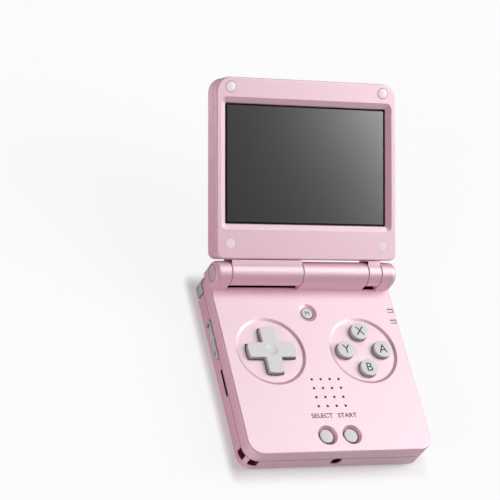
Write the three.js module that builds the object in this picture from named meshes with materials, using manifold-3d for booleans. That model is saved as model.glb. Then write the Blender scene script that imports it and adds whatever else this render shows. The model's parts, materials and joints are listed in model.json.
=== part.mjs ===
// Clamshell handheld game console, open at its stop.
// Millimetres. X runs right, Y from the front edge to the hinge, Z up from the flat underside.
import * as THREE from 'three';
import { mergeVertices } from 'three/addons/utils/BufferGeometryUtils.js';
import Module from 'manifold-3d';

// Driving dimensions of the closed body
const body_width = 85;
const base_depth = 86.8;
const base_height = 15;
const lid_thickness = 11;
const closed_gap = 0.7;
const open_angle = 149.8;
const wall = 1.8;
const floor_thickness = 1.6;
const seam_below_board = 1.9;
const seam_gap = 0.2;
const fit_gap = 0.3;
const cut_over = 1;

// Corners and edges of the base
const front_corner = 6.5;
const rear_corner = 5;
const top_edge_round = 0.8;
const lower_bevel_width = 1.9;
const lower_bevel_height = 0.9;
const panel_bevel_width = 1.2;
const panel_bevel_height = 0.9;
const floor_corner_inset = 4;

// Hinge
const hinge_radius = 5.1;
const hinge_rise = 5.03;
const hinge_bore = 2.9;
const hinge_air = 0.8;
const trough_air = 0.35;
const housing_foot_depth = 2.5;
const end_cap_length = 7;
const barrel_split = 2.3;
const lid_knuckle_length = 6;
const end_cap_round = 1.2;
const barrel_edge = 0.3;
const end_cover_radius = 3.55;
const end_cover_thickness = 0.9;
const click_module_length = 20;
const cam_stub_radius = 1.2;
const cam_stub_length = 6;
const cam_shaft_length = 11;
const hinge_pin_length = 11;
const ribbon_radius = 2.3;

// Round recesses in the top face, and the controls that stand in them
const dish_outward = 0.47;
const dish_y = 3.85;
const dish_radius = 15.83;
const dish_depth = 0.9;
const dish_rim = 0.8;
const dish_floor_thickness = 1.2;
const pad_margin = 0.8;
const bowl_floor_thickness = 1;
const menu_from_hinge = 16.1;
const menu_bowl_radius = 4.25;
const menu_bowl_depth = 1.6;
const menu_rim = 1.1;
const pair_x = 5.62;
const pair_from_front = 7.8;
const pair_bowl_radius = 4.4;
const pair_bowl_depth = 1.9;
const pair_rim = 1;

// D-pad
const dpad_span = 21.8;
const dpad_arm = 7;
const dpad_bulge = 0.5;
const dpad_rise = 1.2;
const dpad_edge = 0.5;
const dpad_flange_radius = 10.6;
const dpad_flange_thickness = 0.7;
const dpad_rock_air = 0.9;
const dpad_gap = 0.45;
const dimple_radius = 2.72;
const dimple_depth = 0.35;
const pivot_radius = 1.5;
const pivot_socket_depth = 1.3;
const pivot_air = 0.35;

// Face buttons, menu button, select and start
const face_pitch = 8.7;
const face_button_radius = 3.75;
const face_flange_radius = 4.7;
const button_edge = 0.45;
const button_gap = 0.25;
const flange_thickness = 0.7;
const menu_button_radius = 2.5;
const menu_flange_radius = 3.3;
const menu_sink = 0.4;
const pair_button_radius = 3;
const pair_flange_radius = 3.8;
const pair_sink = 0.9;

// Speaker and its grid of holes
const speaker_from_pair = 19.66;
const speaker_pitch = 4.19;
const speaker_rows = 4;
const speaker_hole_radius = 0.55;
const speaker_radius = 9;
const speaker_cone_radius = 7;
const speaker_cone_depth = 0.8;

// Indicator light guides at the right edge of the top face
const guide_length = 2.8;
const guide_width = 1.7;
const guide_height = 1.5;
const guide_edge_inset = 0.9;
const guide_power_ahead = 9.4;
const guide_charge_ahead = 4;

// Side walls: volume rocker, power and reset buttons, card slots
const side_key_to_well = 14.2;
const side_key_below_board = 1.55;
const rocker_length = 18.5;
const rocker_height = 3.2;
const rocker_reach = 0.8;
const rocker_waist = 0.5;
const rocker_waist_length = 2.4;
const key_gap = 0.25;
const key_flange = 0.8;
const key_flange_thickness = 0.8;
const key_flange_air = 0.8;
const power_offset = 2.6;
const power_length = 10.5;
const power_height = 3.2;
const reset_offset = 9.4;
const reset_length = 5;
const reset_height = 2.6;
const reset_reach = 0.35;
const card_to_keys = 20.55;
const card_slot_length = 12;
const card_slot_height = 1;
const card_slot_below_board = 1.25;
const card_socket_width = 13.2;
const card_socket_depth = 14;
const card_socket_height = 1.8;
const card_mouth_depth = 12;
const scoop_radius = 7;
const scoop_sag = 2.1;
const scoop_depth = 1.2;

// Rear wall: shoulder buttons and ports
const shoulder_corner = 4.6;
const shoulder_gap = 0.35;
const shoulder_travel = 1;
const shoulder_post = 1.6;
const shoulder_port_gap = 1.43;
const outer_shoulder_shift = 2.45;
const outer_shoulder_depth = 7;
const inner_shoulder_depth = 3.9;
const shoulder_reach = 0.45;
const shoulder_lift = 0.5;
const shoulder_chamfer = 2.4;
const shoulder_top_edge = 0.4;
const shoulder_tab_width = 6;
const shoulder_tab_depth = 2.6;
const shoulder_tab_over_floor = 0.5;
const shoulder_switch_lift = 0.1;
const shoulder_tab_below_seam = 1.6;
const port_below_board = 2;
const port_depth = 9;
const usb_x = -8.5;
const usb_width = 8.94;
const usb_height = 3.2;
const hdmi_x = 5.4;
const hdmi_width = 11;
const hdmi_height = 3.4;
const hdmi_shoulder = 1.4;
const port_skin = 0.35;
const port_inset = 0.3;
const port_tongue_height = 0.7;
const port_tongue_margin = 1.2;

// Front wall: audio jack, and the corner post for a lanyard
const jack_x = 0.1;
const jack_below_board = 2.3;
const jack_bore = 1.75;
const jack_collar = 2.3;
const jack_hole = 2.55;
const jack_width = 6.2;
const jack_height = 4.3;
const jack_length = 11;
const lanyard_channel_height = 2.3;
const lanyard_cover = 0.2;
const lanyard_channel_inner = 3.6;
const lanyard_channel_outer = 4.9;
const lanyard_start = 184;
const lanyard_mouth = 29;
const lanyard_post = 24;

// Inside the base
const board_thickness = 1;
const board_below_face = 6.4;
const board_side_gap = 10;
const board_wide_gap = 6.5;
const board_front_notch = 6.4;
const board_rear_notch = 4.6;
const board_end_gap = 3.9;
const membrane_thickness = 0.45;
const dpad_dome_height = 0.25;
const face_dome_height = 0.5;
const dome_radius = 2.4;
const pair_dome_height = 0.15;
const switch_height = 1;
const shield_width = 18;
const shield_height = 1.6;
const shield_dish_gap = 4.55;
const shield_end_gap = 2.5;
const battery_side_gap = 4.7;
const battery_depth = 36;
const battery_front_gap = 2.3;
const standoff_radius = 2.5;
const standoff_battery_gap = 4.5;
const standoff_rear_offset = 18.75;
const standoff_front_offset = 13.25;
const strip_thickness = 0.8;
const strip_height = 3.9;
const key_switch_width = 3.4;
const key_switch_height = 2.8;
const key_switch_depth = 1.4;
const plunger_radius = 0.7;
const plunger_air = 0.3;

// Base screws and their wells
const well_side_inset = 5.9;
const well_rear_inset = 15.4;
const well_front_side_inset = 6.7;
const well_front_inset = 10;
const well_radius = 2.4;
const well_depth = 3.8;
const well_boss_radius = 3.5;
const screw_hole = 1.25;
const screw_shank = 0.9;
const screw_head = 1.9;
const screw_head_height = 1.3;
const screw_end_cover = 3.2;
const post_radius = 2.5;

// Lid
const lid_near_corner = 3;
const lid_far_corner = 6.5;
const lid_bevel_width = 2.2;
const lid_bevel_height = 2.1;
const lid_ridge = 0.35;
const lid_face_round = 0.6;
const lid_frame_thickness = 3.4;
const neck_front = 3.6;
const neck_back = 4.6;
const neck_overlap = 1.2;
const screen_side_border = 4.5;
const screen_near = 20.45;
const screen_far_border = 10.65;
const screen_bevel_width = 2.35;
const screen_bevel_depth = 1.35;
const screen_corner = 2.7;
const glass_depth = 1.5;
const glass_thickness = 0.9;
const ledge_width = 1.5;
const panel_margin = 1.6;
const panel_thickness = 2;
const bumper_side_inset = 6.52;
const bumper_near = 12.14;
const bumper_far_inset = 4.16;
const bumper_radius = 2.5;
const bumper_depth = 0.8;
const bumper_rise = 0.5;
const bumper_dome = 0.35;
const lid_screw_head = 1.6;
const lid_screw_head_height = 0.6;
const lid_screw_shank = 0.8;
const lid_screw_hole = 1.15;
const lid_screw_length = 5;
const lid_post_radius = 2.3;

// Badge on the lid's back
const badge_far_inset = 6.7;
const badge_length = 19.6;
const badge_height = 5.8;
const badge_band = 0.9;
const badge_rise = 0.25;
const badge_depth = 0.6;
const badge_plate_drop = 0.1;

// Numbers of straight steps in round shapes
const corner_steps = 4;
const round_sides = 24;
const button_sides = 20;
const small_sides = 10;
const pin_hole_sides = 6;

// Places worked out from the sizes above
const half_width = body_width / 2;
const rear = base_depth / 2;
const front = -rear;
const board_underside = base_height - board_below_face;
const seam_height = board_underside - seam_below_board;
const seam_top = seam_height + seam_gap / 2;
const seam_low = seam_height - seam_gap / 2;
const ceiling = base_height - wall;
const hinge_y = rear - hinge_radius;
const hinge_z = base_height + hinge_rise;
const board_top = board_underside + board_thickness;
const membrane_low = board_top + fit_gap;
const membrane_top = membrane_low + membrane_thickness;
const dish_under = base_height - dish_depth - dish_floor_thickness;
const menu_under = base_height - menu_bowl_depth - bowl_floor_thickness;
const pair_under = base_height - pair_bowl_depth - bowl_floor_thickness;
const wall_inside = half_width - wall;
const end_cap_inner = half_width - end_cap_length;
const lid_barrel_end = -barrel_split;
const base_barrel_start = lid_barrel_end + fit_gap;
const lid_knuckle_start = end_cap_inner - fit_gap - lid_knuckle_length;
const base_barrel_end = lid_knuckle_start - fit_gap;
const lid_start = hinge_radius + hinge_air;
const lid_end = hinge_y - front;
const lid_face = hinge_rise - closed_gap;
const lid_back = lid_face - lid_thickness;
const lid_seam = lid_face - lid_frame_thickness;
const lid_open_turn = THREE.MathUtils.degToRad(180 - open_angle);
const arc_share = 1 - Math.SQRT1_2;

// Places on the top face and on the walls
const side_key_z = board_underside - side_key_below_board;
const card_slot_z = board_underside - card_slot_below_board;
const port_z = board_underside - port_below_board;
const jack_z = board_underside - jack_below_board;
const lanyard_high = seam_low - lanyard_cover;
const lanyard_low = lanyard_high - lanyard_channel_height;
const dish_x = half_width / 2 + dish_outward;
const menu_y = hinge_y - menu_from_hinge;
const pair_y = front + pair_from_front;
const speaker_y = pair_y + speaker_from_pair;
const well_x = half_width - well_side_inset;
const well_rear = rear - well_rear_inset;
const well_front_x = half_width - well_front_side_inset;
const well_front = front + well_front_inset;
const side_key_y = well_rear - side_key_to_well;
const power_y = side_key_y + power_offset;
const reset_y = side_key_y - reset_offset;
const card_y = side_key_y - card_to_keys;
const guide_y = [side_key_y + guide_power_ahead, side_key_y + guide_charge_ahead];
const inner_shoulder_x = usb_width / 2 - usb_x + shoulder_port_gap;
const outer_shoulder_x = (inner_shoulder_x + half_width) / 2 - outer_shoulder_shift;
const inner_shoulder_width = outer_shoulder_x - shoulder_post - inner_shoulder_x;

// Places inside the base
const screw_length = base_height - screw_end_cover - well_depth;
const shoulder_tab_low = floor_thickness + shoulder_tab_over_floor;
const shoulder_tab_high = seam_height - shoulder_tab_below_seam;
const board_half_width = half_width - board_side_gap;
const board_wide_half = half_width - board_wide_gap;
const board_wide_front = well_front + board_front_notch;
const board_wide_rear = well_rear - board_rear_notch;
const board_end = rear - board_end_gap;
const shield_front = dish_y + dpad_flange_radius + shield_dish_gap;
const shield_rear = board_end - shield_end_gap;
const battery_width = 2 * (wall_inside - card_socket_depth - battery_side_gap);
const battery_y = front + wall + fit_gap + jack_length + battery_front_gap + battery_depth / 2;
const standoff_x = battery_width / 2 + standoff_battery_gap + standoff_radius;
const standoff_rear = card_y + standoff_rear_offset;
const standoff_front = card_y - standoff_front_offset;

// Places on the lid
const screen_half_width = half_width - screen_side_border;
const screen_far = lid_end - screen_far_border;
const bumper_x = half_width - bumper_side_inset;
const bumper_far = lid_end - bumper_far_inset;
const badge_v = lid_end - badge_far_inset;

const finishes = {
  pink: { color: 0xeccad7, roughness: 0.42, metalness: 0.1 },
  grey: { color: 0xc4c6c5, roughness: 0.5, metalness: 0 },
  clear: { color: 0xe8ebe8, roughness: 0.2, metalness: 0 },
  rubber: { color: 0xd9d4d2, roughness: 0.8, metalness: 0 },
  bumper: { color: 0xf6e9ee, roughness: 0.3, metalness: 0 },
  steel: { color: 0xb9bcc0, roughness: 0.3, metalness: 1 },
  chrome: { color: 0xe2e4e6, roughness: 0.12, metalness: 1 },
  black: { color: 0x1b1c1e, roughness: 0.45, metalness: 0 },
  board: { color: 0x1f5a3a, roughness: 0.6, metalness: 0 },
  battery: { color: 0x5c6470, roughness: 0.5, metalness: 0.2 },
  ribbon: { color: 0xb8792e, roughness: 0.5, metalness: 0 },
  glass: { color: 0x26282a, roughness: 0.08, metalness: 0 },
};

const wasm = await Module();
wasm.setup();

const unit_x = new THREE.Vector3(1, 0, 0);
const unit_y = new THREE.Vector3(0, 1, 0);
const unit_z = new THREE.Vector3(0, 0, 1);
const along_x = new THREE.Matrix4().makeBasis(unit_y, unit_z, unit_x);
const along_y = new THREE.Matrix4().makeBasis(unit_z, unit_x, unit_y);

// Turns a closed geometry into a solid that can be joined and cut.
function toSolid(geometry) {
  geometry.deleteAttribute('normal');
  geometry.deleteAttribute('uv');
  const welded = mergeVertices(geometry);
  const corners = welded.index.array;
  const kept = [];
  for (let k = 0; k < corners.length; k += 3) {
    const [a, b, c] = [corners[k], corners[k + 1], corners[k + 2]];
    if (a !== b && b !== c && c !== a) kept.push(a, b, c);
  }
  return new wasm.Manifold(new wasm.Mesh({
    numProp: 3,
    vertProperties: Float32Array.from(welded.attributes.position.array),
    triVerts: Uint32Array.from(kept),
  }));
}

// Turns a solid back into a geometry for a mesh.
function toGeometry(solid) {
  const mesh = solid.getMesh();
  const geometry = new THREE.BufferGeometry();
  geometry.setAttribute('position', new THREE.BufferAttribute(mesh.vertProperties, mesh.numProp));
  geometry.setIndex(new THREE.BufferAttribute(mesh.triVerts, 1));
  geometry.computeVertexNormals();
  return geometry;
}

function join(first, ...others) {
  return others.reduce((body, other) => body.add(other), first);
}

function cut(first, ...tools) {
  return tools.reduce((body, tool) => body.subtract(tool), first);
}

// A closed body through one outline at several heights, each level being [height, inset].
function stacked(outline, levels, turn = null) {
  const rings = levels.map(([height, inset]) => outline(inset).map(([a, b]) => [a, b, height]));
  const count = rings[0].length;
  const index = [];
  for (let level = 0; level < rings.length - 1; level += 1) {
    for (let k = 0; k < count; k += 1) {
      const a = level * count + k;
      const b = level * count + ((k + 1) % count);
      index.push(a, b, b + count, a, b + count, a + count);
    }
  }
  const capFaces = (ring) => THREE.ShapeUtils.triangulateShape(
    ring.map(([a, b]) => new THREE.Vector2(a, b)), []);
  const last = (rings.length - 1) * count;
  capFaces(rings[0]).forEach(([a, b, c]) => index.push(c, b, a));
  capFaces(rings.at(-1)).forEach(([a, b, c]) => index.push(last + a, last + b, last + c));
  const geometry = new THREE.BufferGeometry();
  geometry.setAttribute('position', new THREE.Float32BufferAttribute(rings.flat(2), 3));
  geometry.setIndex(index);
  if (turn) geometry.applyMatrix4(turn);
  return toSolid(geometry);
}

// Outline of a rectangle with round corners, as a function of the inset.
function roundedOutline(left, right, low, high, low_radius, high_radius, steps = corner_steps) {
  return (inset) => {
    const points = [];
    const corner = (x, y, radius, start) => {
      for (let k = 0; k <= steps; k += 1) {
        const angle = start + (k / steps) * (Math.PI / 2);
        const reach = radius - inset;
        points.push([x + reach * Math.cos(angle), y + reach * Math.sin(angle)]);
      }
    };
    corner(right - low_radius, low + low_radius, low_radius, -Math.PI / 2);
    corner(right - high_radius, high - high_radius, high_radius, 0);
    corner(left + high_radius, high - high_radius, high_radius, Math.PI / 2);
    corner(left + low_radius, low + low_radius, low_radius, Math.PI);
    return points;
  };
}

function pillOutline(length, height, steps = corner_steps) {
  const radius = height / 2;
  return roundedOutline(-length / 2, length / 2, -radius, radius, radius, radius, steps);
}

function circleOutline(radius, sides = round_sides) {
  return (inset) => Array.from({ length: sides }, (_, k) => {
    const angle = (k / sides) * 2 * Math.PI;
    return [(radius - inset) * Math.cos(angle), (radius - inset) * Math.sin(angle)];
  });
}

// Levels of a straight body whose upper edge is rounded in two steps.
function roundTop(low, high, radius) {
  return [
    [low, 0],
    [high - radius, 0],
    [high - radius * arc_share, radius * arc_share],
    [high, radius],
  ];
}

function block(left, right, low_y, high_y, low_z, high_z) {
  const box = new THREE.BoxGeometry(right - left, high_y - low_y, high_z - low_z);
  box.translate((left + right) / 2, (low_y + high_y) / 2, (low_z + high_z) / 2);
  return toSolid(box);
}

function disc(radius, low, high, x = 0, y = 0, sides = button_sides) {
  return stacked(circleOutline(radius, sides), [[low, 0], [high, 0]]).translate([x, y, 0]);
}

function rod(radius, start, end, sides = button_sides) {
  return stacked(circleOutline(radius, sides), [[start, 0], [end, 0]], along_x);
}

function rodAlongY(radius, start, end, x, z, sides = small_sides) {
  return stacked(circleOutline(radius, sides), [[start, 0], [end, 0]], along_y).translate([x, 0, z]);
}

// A turned body about the Z axis from [radius, height] points that start and end on the axis.
function turned(points, x = 0, y = 0, sides = button_sides) {
  const profile = points.map(([radius, height]) => new THREE.Vector2(radius, height));
  const lathe = new THREE.LatheGeometry(profile, sides);
  lathe.rotateX(Math.PI / 2);
  return toSolid(lathe).translate([x, y, 0]);
}

// A bowl-shaped cutter: wide at the face, narrower by its rim at the floor.
function bowl(radius, rim, depth, x, y) {
  const floor_z = base_height - depth;
  return turned([
    [0, floor_z],
    [radius - rim, floor_z],
    [radius, base_height],
    [radius, base_height + cut_over],
    [0, base_height + cut_over],
  ], x, y, round_sides);
}

function piece(parent, name, solid, finish, x = 0, y = 0, z = 0) {
  const mesh = new THREE.Mesh(toGeometry(solid), new THREE.MeshStandardMaterial(finish));
  mesh.name = name;
  mesh.position.set(x, y, z);
  parent.add(mesh);
  return mesh;
}

const baseOutline = roundedOutline(-half_width, half_width, front, rear, front_corner, rear_corner);

const wells = [
  ['rear_left', -well_x, well_rear],
  ['rear_right', well_x, well_rear],
  ['front_left', -well_front_x, well_front],
  ['front_right', well_front_x, well_front],
];

const face_buttons = [
  ['button_a', 1, 0],
  ['button_b', 0, -1],
  ['button_x', 0, 1],
  ['button_y', -1, 0],
];

// Plus-shaped outline with gently bulged arm ends.
function crossOutline(span, arm, bulge) {
  return (inset) => {
    const half_arm = arm / 2 - inset;
    const tip = span / 2 - inset;
    const quarter = [
      [half_arm, half_arm],
      [tip - bulge, half_arm],
      [tip - bulge / 4, half_arm / 2],
      [tip, 0],
      [tip - bulge / 4, -half_arm / 2],
      [tip - bulge, -half_arm],
    ];
    const turns = [[1, 0], [0, 1], [-1, 0], [0, -1]];
    return turns.flatMap(([c, s]) => quarter.slice(1).concat([[half_arm, -half_arm]])
      .reverse().map(([a, b]) => [a * c - b * s, a * s + b * c]));
  };
}

// Housing profile across the hinge: half round on top, straight down into the base.
function housingOutline(inset) {
  const reach = hinge_radius - inset;
  const foot = base_height - housing_foot_depth;
  const points = [[hinge_y + reach, foot]];
  for (let k = 0; k <= button_sides / 2; k += 1) {
    const angle = (k / (button_sides / 2)) * Math.PI;
    points.push([hinge_y + reach * Math.cos(angle), hinge_z + reach * Math.sin(angle)]);
  }
  points.push([hinge_y - reach, foot]);
  return points;
}

function hingeHousings() {
  const rounded = [
    [end_cap_inner, 0],
    [half_width - end_cap_round, 0],
    [half_width - end_cap_round * arc_share, end_cap_round * arc_share],
    [half_width, end_cap_round],
  ];
  const mirrored = rounded.map(([x, inset]) => [-x, inset]).reverse();
  return join(
    stacked(housingOutline, rounded, along_x),
    stacked(housingOutline, mirrored, along_x),
    stacked(housingOutline, [[base_barrel_start, 0], [base_barrel_end, 0]], along_x),
  );
}

function hingeBores() {
  const cover_seat = end_cover_radius + fit_gap / 2;
  const cover_depth = half_width - end_cover_thickness - fit_gap;
  const bore = rod(hinge_bore, -cover_depth - cut_over / 2, cover_depth + cut_over / 2);
  const right_seat = rod(cover_seat, cover_depth, half_width + cut_over);
  const left_seat = rod(cover_seat, -half_width - cut_over, -cover_depth);
  return join(bore, right_seat, left_seat).translate([0, hinge_y, hinge_z]);
}

// Room under the lid's long barrel and under its small knuckle.
function hingeTroughs() {
  const radius = hinge_radius + trough_air;
  return join(
    rod(radius, -end_cap_inner, base_barrel_start),
    rod(radius, base_barrel_end, end_cap_inner),
  ).translate([0, hinge_y, hinge_z]);
}

function speakerHoles() {
  const holes = [];
  for (let row = 0; row < speaker_rows; row += 1) {
    for (let column = 0; column < speaker_rows; column += 1) {
      const x = (column - (speaker_rows - 1) / 2) * speaker_pitch;
      const y = speaker_y + (row - (speaker_rows - 1) / 2) * speaker_pitch;
      const low = ceiling - cut_over;
      holes.push(disc(speaker_hole_radius, low, base_height + cut_over, x, y, pin_hole_sides));
    }
  }
  return join(...holes);
}

function controlPads() {
  const high = ceiling + wall / 2;
  return join(
    disc(dish_radius + pad_margin, dish_under, high, -dish_x, dish_y, round_sides),
    disc(dish_radius + pad_margin, dish_under, high, dish_x, dish_y, round_sides),
    disc(menu_bowl_radius + pad_margin, menu_under, high, 0, menu_y),
    disc(pair_bowl_radius + pad_margin, pair_under, high, -pair_x, pair_y),
    disc(pair_bowl_radius + pad_margin, pair_under, high, pair_x, pair_y),
  );
}

function controlRecesses() {
  const dpad_hole = crossOutline(dpad_span + 2 * dpad_gap, dpad_arm + 2 * dpad_gap, dpad_bulge);
  const high = base_height + cut_over;
  const low = pair_under - cut_over;
  const face_holes = face_buttons.map(([, across, up]) => disc(
    face_button_radius + button_gap, low, high, dish_x + across * face_pitch, dish_y + up * face_pitch));
  return join(
    bowl(dish_radius, dish_rim, dish_depth, -dish_x, dish_y),
    bowl(dish_radius, dish_rim, dish_depth, dish_x, dish_y),
    bowl(menu_bowl_radius, menu_rim, menu_bowl_depth, 0, menu_y),
    bowl(pair_bowl_radius, pair_rim, pair_bowl_depth, -pair_x, pair_y),
    bowl(pair_bowl_radius, pair_rim, pair_bowl_depth, pair_x, pair_y),
    stacked(dpad_hole, [[low, 0], [high, 0]]).translate([-dish_x, dish_y, 0]),
    disc(menu_button_radius + button_gap, low, high, 0, menu_y),
    disc(pair_button_radius + button_gap, low, high, -pair_x, pair_y),
    disc(pair_button_radius + button_gap, low, high, pair_x, pair_y),
    ...face_holes,
  );
}

function guideSlots() {
  const right = half_width - guide_edge_inset + fit_gap / 2;
  const left = right - guide_length - fit_gap;
  const reach = guide_width / 2 + fit_gap / 2;
  const low = base_height - guide_height - fit_gap;
  return join(...guide_y.map((y) => block(left, right, y - reach, y + reach, low, base_height + cut_over)));
}

// Openings in the walls that both shells share.
function wallOpenings() {
  const outside = half_width + cut_over;
  const inside = wall_inside - cut_over;
  const pillCut = (length, height, y, start, end) => stacked(
    pillOutline(length + 2 * key_gap, height + 2 * key_gap), [[start, 0], [end, 0]], along_x,
  ).translate([0, y, side_key_z]);
  const card_half = card_slot_length / 2;
  const slot_low = card_slot_z - card_slot_height / 2;
  const slot_high = card_slot_z + card_slot_height / 2;
  return join(
    pillCut(rocker_length, rocker_height, side_key_y, -outside, -inside),
    pillCut(power_length, power_height, power_y, inside, outside),
    pillCut(reset_length, reset_height, reset_y, inside, outside),
    block(-outside, -inside, card_y - card_half, card_y + card_half, slot_low, slot_high),
    block(inside, outside, card_y - card_half, card_y + card_half, slot_low, slot_high),
    usbOpening(),
    hdmiOpening(),
    rodAlongY(jack_hole, front - cut_over, front + wall + cut_over, jack_x, jack_z, button_sides),
  );
}

function usbOutline(margin) {
  const half = usb_width / 2 + margin;
  const radius = usb_height / 2 + margin;
  return roundedOutline(-radius, radius, -half, half, radius, radius);
}

// The mini HDMI section: a box whose two lower corners are cut off. Points are [z, x].
function hdmiOutline(margin) {
  const half = hdmi_width / 2 + margin;
  const tall = hdmi_height / 2 + margin;
  return () => [
    [-tall, -half + hdmi_shoulder],
    [-tall, half - hdmi_shoulder],
    [-tall + hdmi_shoulder, half],
    [tall, half],
    [tall, -half],
    [-tall + hdmi_shoulder, -half],
  ].reverse();
}

function usbOpening() {
  const levels = [[rear - wall - cut_over, 0], [rear + cut_over, 0]];
  return stacked(usbOutline(port_inset), levels, along_y).translate([usb_x, 0, port_z]);
}

function hdmiOpening() {
  const levels = [[rear - wall - cut_over, 0], [rear + cut_over, 0]];
  return stacked(hdmiOutline(port_inset), levels, along_y).translate([hdmi_x, 0, port_z]);
}

// Spaces in the rear edge of the bottom shell for the four shoulder buttons.
function shoulderNotches() {
  const high = seam_height + shoulder_top_edge + shoulder_gap;
  const outer_front = rear - outer_shoulder_depth - shoulder_travel - shoulder_gap;
  const inner_front = rear - inner_shoulder_depth - shoulder_travel - shoulder_gap;
  const outer_left = outer_shoulder_x - shoulder_gap;
  const inner_left = inner_shoulder_x - shoulder_gap;
  const inner_right = inner_shoulder_x + inner_shoulder_width + shoulder_gap;
  const far = half_width + cut_over;
  const back = rear + cut_over;
  return join(
    block(outer_left, far, outer_front, back, -cut_over, high),
    block(-far, -outer_left, outer_front, back, -cut_over, high),
    block(inner_left, inner_right, inner_front, back, -cut_over, high),
    block(-inner_right, -inner_left, inner_front, back, -cut_over, high),
  );
}

function baseTopShell() {
  const outside = stacked(baseOutline, roundTop(seam_top, base_height, top_edge_round));
  const inside = stacked(baseOutline, [[seam_top - cut_over, wall], [ceiling, wall]]);
  const posts = wells.map(([, x, y]) => disc(post_radius, seam_top, ceiling + wall / 2, x, y, small_sides));
  const pilots = wells.map(([, x, y]) => disc(
    screw_hole, seam_top - cut_over, ceiling - wall / 2, x, y, small_sides));
  const shell = join(cut(outside, inside), controlPads(), ...posts, hingeHousings());
  return cut(
    shell, hingeBores(), hingeTroughs(), controlRecesses(), speakerHoles(), guideSlots(),
    wallOpenings(), shoulderNotches(), ...pilots,
  );
}

// Channel behind the corner post, with a mouth on each side of it.
function lanyardCut() {
  const centre_x = -half_width + front_corner;
  const centre_y = front + front_corner;
  const sector = (inner, outer, start, end) => {
    const from = THREE.MathUtils.degToRad(start);
    const to = THREE.MathUtils.degToRad(end);
    const shape = new THREE.Shape();
    shape.absarc(0, 0, outer, from, to, false);
    shape.absarc(0, 0, inner, to, from, true);
    const depth = lanyard_high - lanyard_low;
    const sweep = new THREE.ExtrudeGeometry(shape, { depth, bevelEnabled: false, curveSegments: corner_steps });
    return toSolid(sweep).translate([centre_x, centre_y, lanyard_low]);
  };
  const second = lanyard_start + lanyard_mouth + lanyard_post;
  const finish = second + lanyard_mouth;
  return join(
    sector(lanyard_channel_inner, lanyard_channel_outer, lanyard_start, finish),
    sector(lanyard_channel_inner, front_corner + cut_over, lanyard_start, lanyard_start + lanyard_mouth),
    sector(lanyard_channel_inner, front_corner + cut_over, second, finish),
  );
}

// Room for the body of the audio jack behind the front wall.
function jackPocket() {
  const half = jack_width / 2 + fit_gap;
  const start = front + wall + fit_gap / 2;
  return block(
    jack_x - half, jack_x + half, start, start + jack_length + fit_gap,
    jack_z - jack_height / 2 - fit_gap, seam_low + cut_over);
}

function baseBottomShell() {
  const full_bevel = lower_bevel_width + panel_bevel_width;
  const outside = stacked(baseOutline, [
    [0, full_bevel],
    [panel_bevel_height, lower_bevel_width],
    [panel_bevel_height + lower_bevel_height, 0],
    [seam_low, 0],
  ]);
  const inside = stacked(baseOutline, [
    [floor_thickness, floor_corner_inset],
    [floor_thickness + floor_corner_inset - wall, wall],
    [seam_low + cut_over, wall],
  ]);
  const bosses = wells.map(([, x, y]) => disc(
    well_boss_radius, floor_thickness / 2, seam_low, x, y, button_sides));
  const holes = wells.flatMap(([, x, y]) => [
    disc(well_radius, -cut_over, well_depth, x, y, button_sides),
    disc(screw_hole, well_depth - cut_over, seam_low + cut_over, x, y, small_sides),
  ]);
  const standoffs = [-standoff_x, standoff_x].flatMap((x) => [standoff_rear, standoff_front].map(
    (y) => disc(standoff_radius, floor_thickness / 2, board_underside - fit_gap, x, y, small_sides)));
  const corner = disc(
    lanyard_channel_outer + wall / 2, floor_thickness / 2, seam_low,
    -half_width + front_corner, front + front_corner, button_sides);
  const scoop_x = half_width - scoop_depth;
  const scoop = rod(scoop_radius, scoop_x, half_width + cut_over)
    .translate([0, card_y, seam_height + scoop_radius - scoop_sag]);
  const shell = join(cut(outside, inside), corner, ...bosses, ...standoffs);
  return cut(shell, ...holes, lanyardCut(), jackPocket(), wallOpenings(), shoulderNotches(), scoop);
}

function baseShells(parent) {
  piece(parent, 'base_top_shell', baseTopShell(), finishes.pink);
  piece(parent, 'base_bottom_shell', baseBottomShell(), finishes.pink);
  const levels = [[0, 0], [end_cover_thickness * (1 - arc_share), 0], [end_cover_thickness, fit_gap / 2]];
  const cover_x = half_width - end_cover_thickness;
  const right = stacked(circleOutline(end_cover_radius), levels, along_x);
  const left = stacked(circleOutline(end_cover_radius), levels.map(([x, inset]) => [-x, inset]).reverse(), along_x);
  piece(parent, 'hinge_cover_right', right, finishes.pink, cover_x, hinge_y, hinge_z);
  piece(parent, 'hinge_cover_left', left, finishes.pink, -cover_x, hinge_y, hinge_z);
}

function baseScrews(parent) {
  const head_low = well_depth - screw_head_height;
  const screw = join(
    disc(screw_head, head_low, well_depth, 0, 0, small_sides),
    disc(screw_shank, well_depth - screw_head_height / 2, well_depth + screw_length, 0, 0, small_sides),
  );
  wells.forEach(([place, x, y]) => piece(parent, `base_screw_${place}`, screw, finishes.steel, x, y));
}

function mainboard() {
  const low = board_underside;
  const slab = join(
    block(-board_half_width, board_half_width, -board_end, board_end, low, board_top),
    block(-board_wide_half, board_wide_half, board_wide_front, board_wide_rear, low, board_top),
  );
  const menu_switch = disc(menu_button_radius, low, board_top + switch_height, 0, menu_y, small_sides);
  const shield = block(
    -shield_width - menu_flange_radius - fit_gap, -menu_flange_radius - fit_gap,
    shield_front, shield_rear, low, board_top + shield_height);
  return join(slab, menu_switch, shield);
}

function speaker() {
  const low = membrane_low;
  const high = ceiling - fit_gap;
  return cut(
    disc(speaker_radius, low, high),
    turned([
      [0, high - speaker_cone_depth],
      [speaker_cone_radius, high],
      [speaker_cone_radius, high + cut_over],
      [0, high + cut_over],
    ], 0, 0, small_sides),
  );
}

function domes(radius, height, places) {
  return places.map(([x, y]) => disc(radius, membrane_low, membrane_top + height, x, y, small_sides));
}

function fourAround(pitch) {
  return [[pitch, 0], [-pitch, 0], [0, pitch], [0, -pitch]];
}

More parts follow.
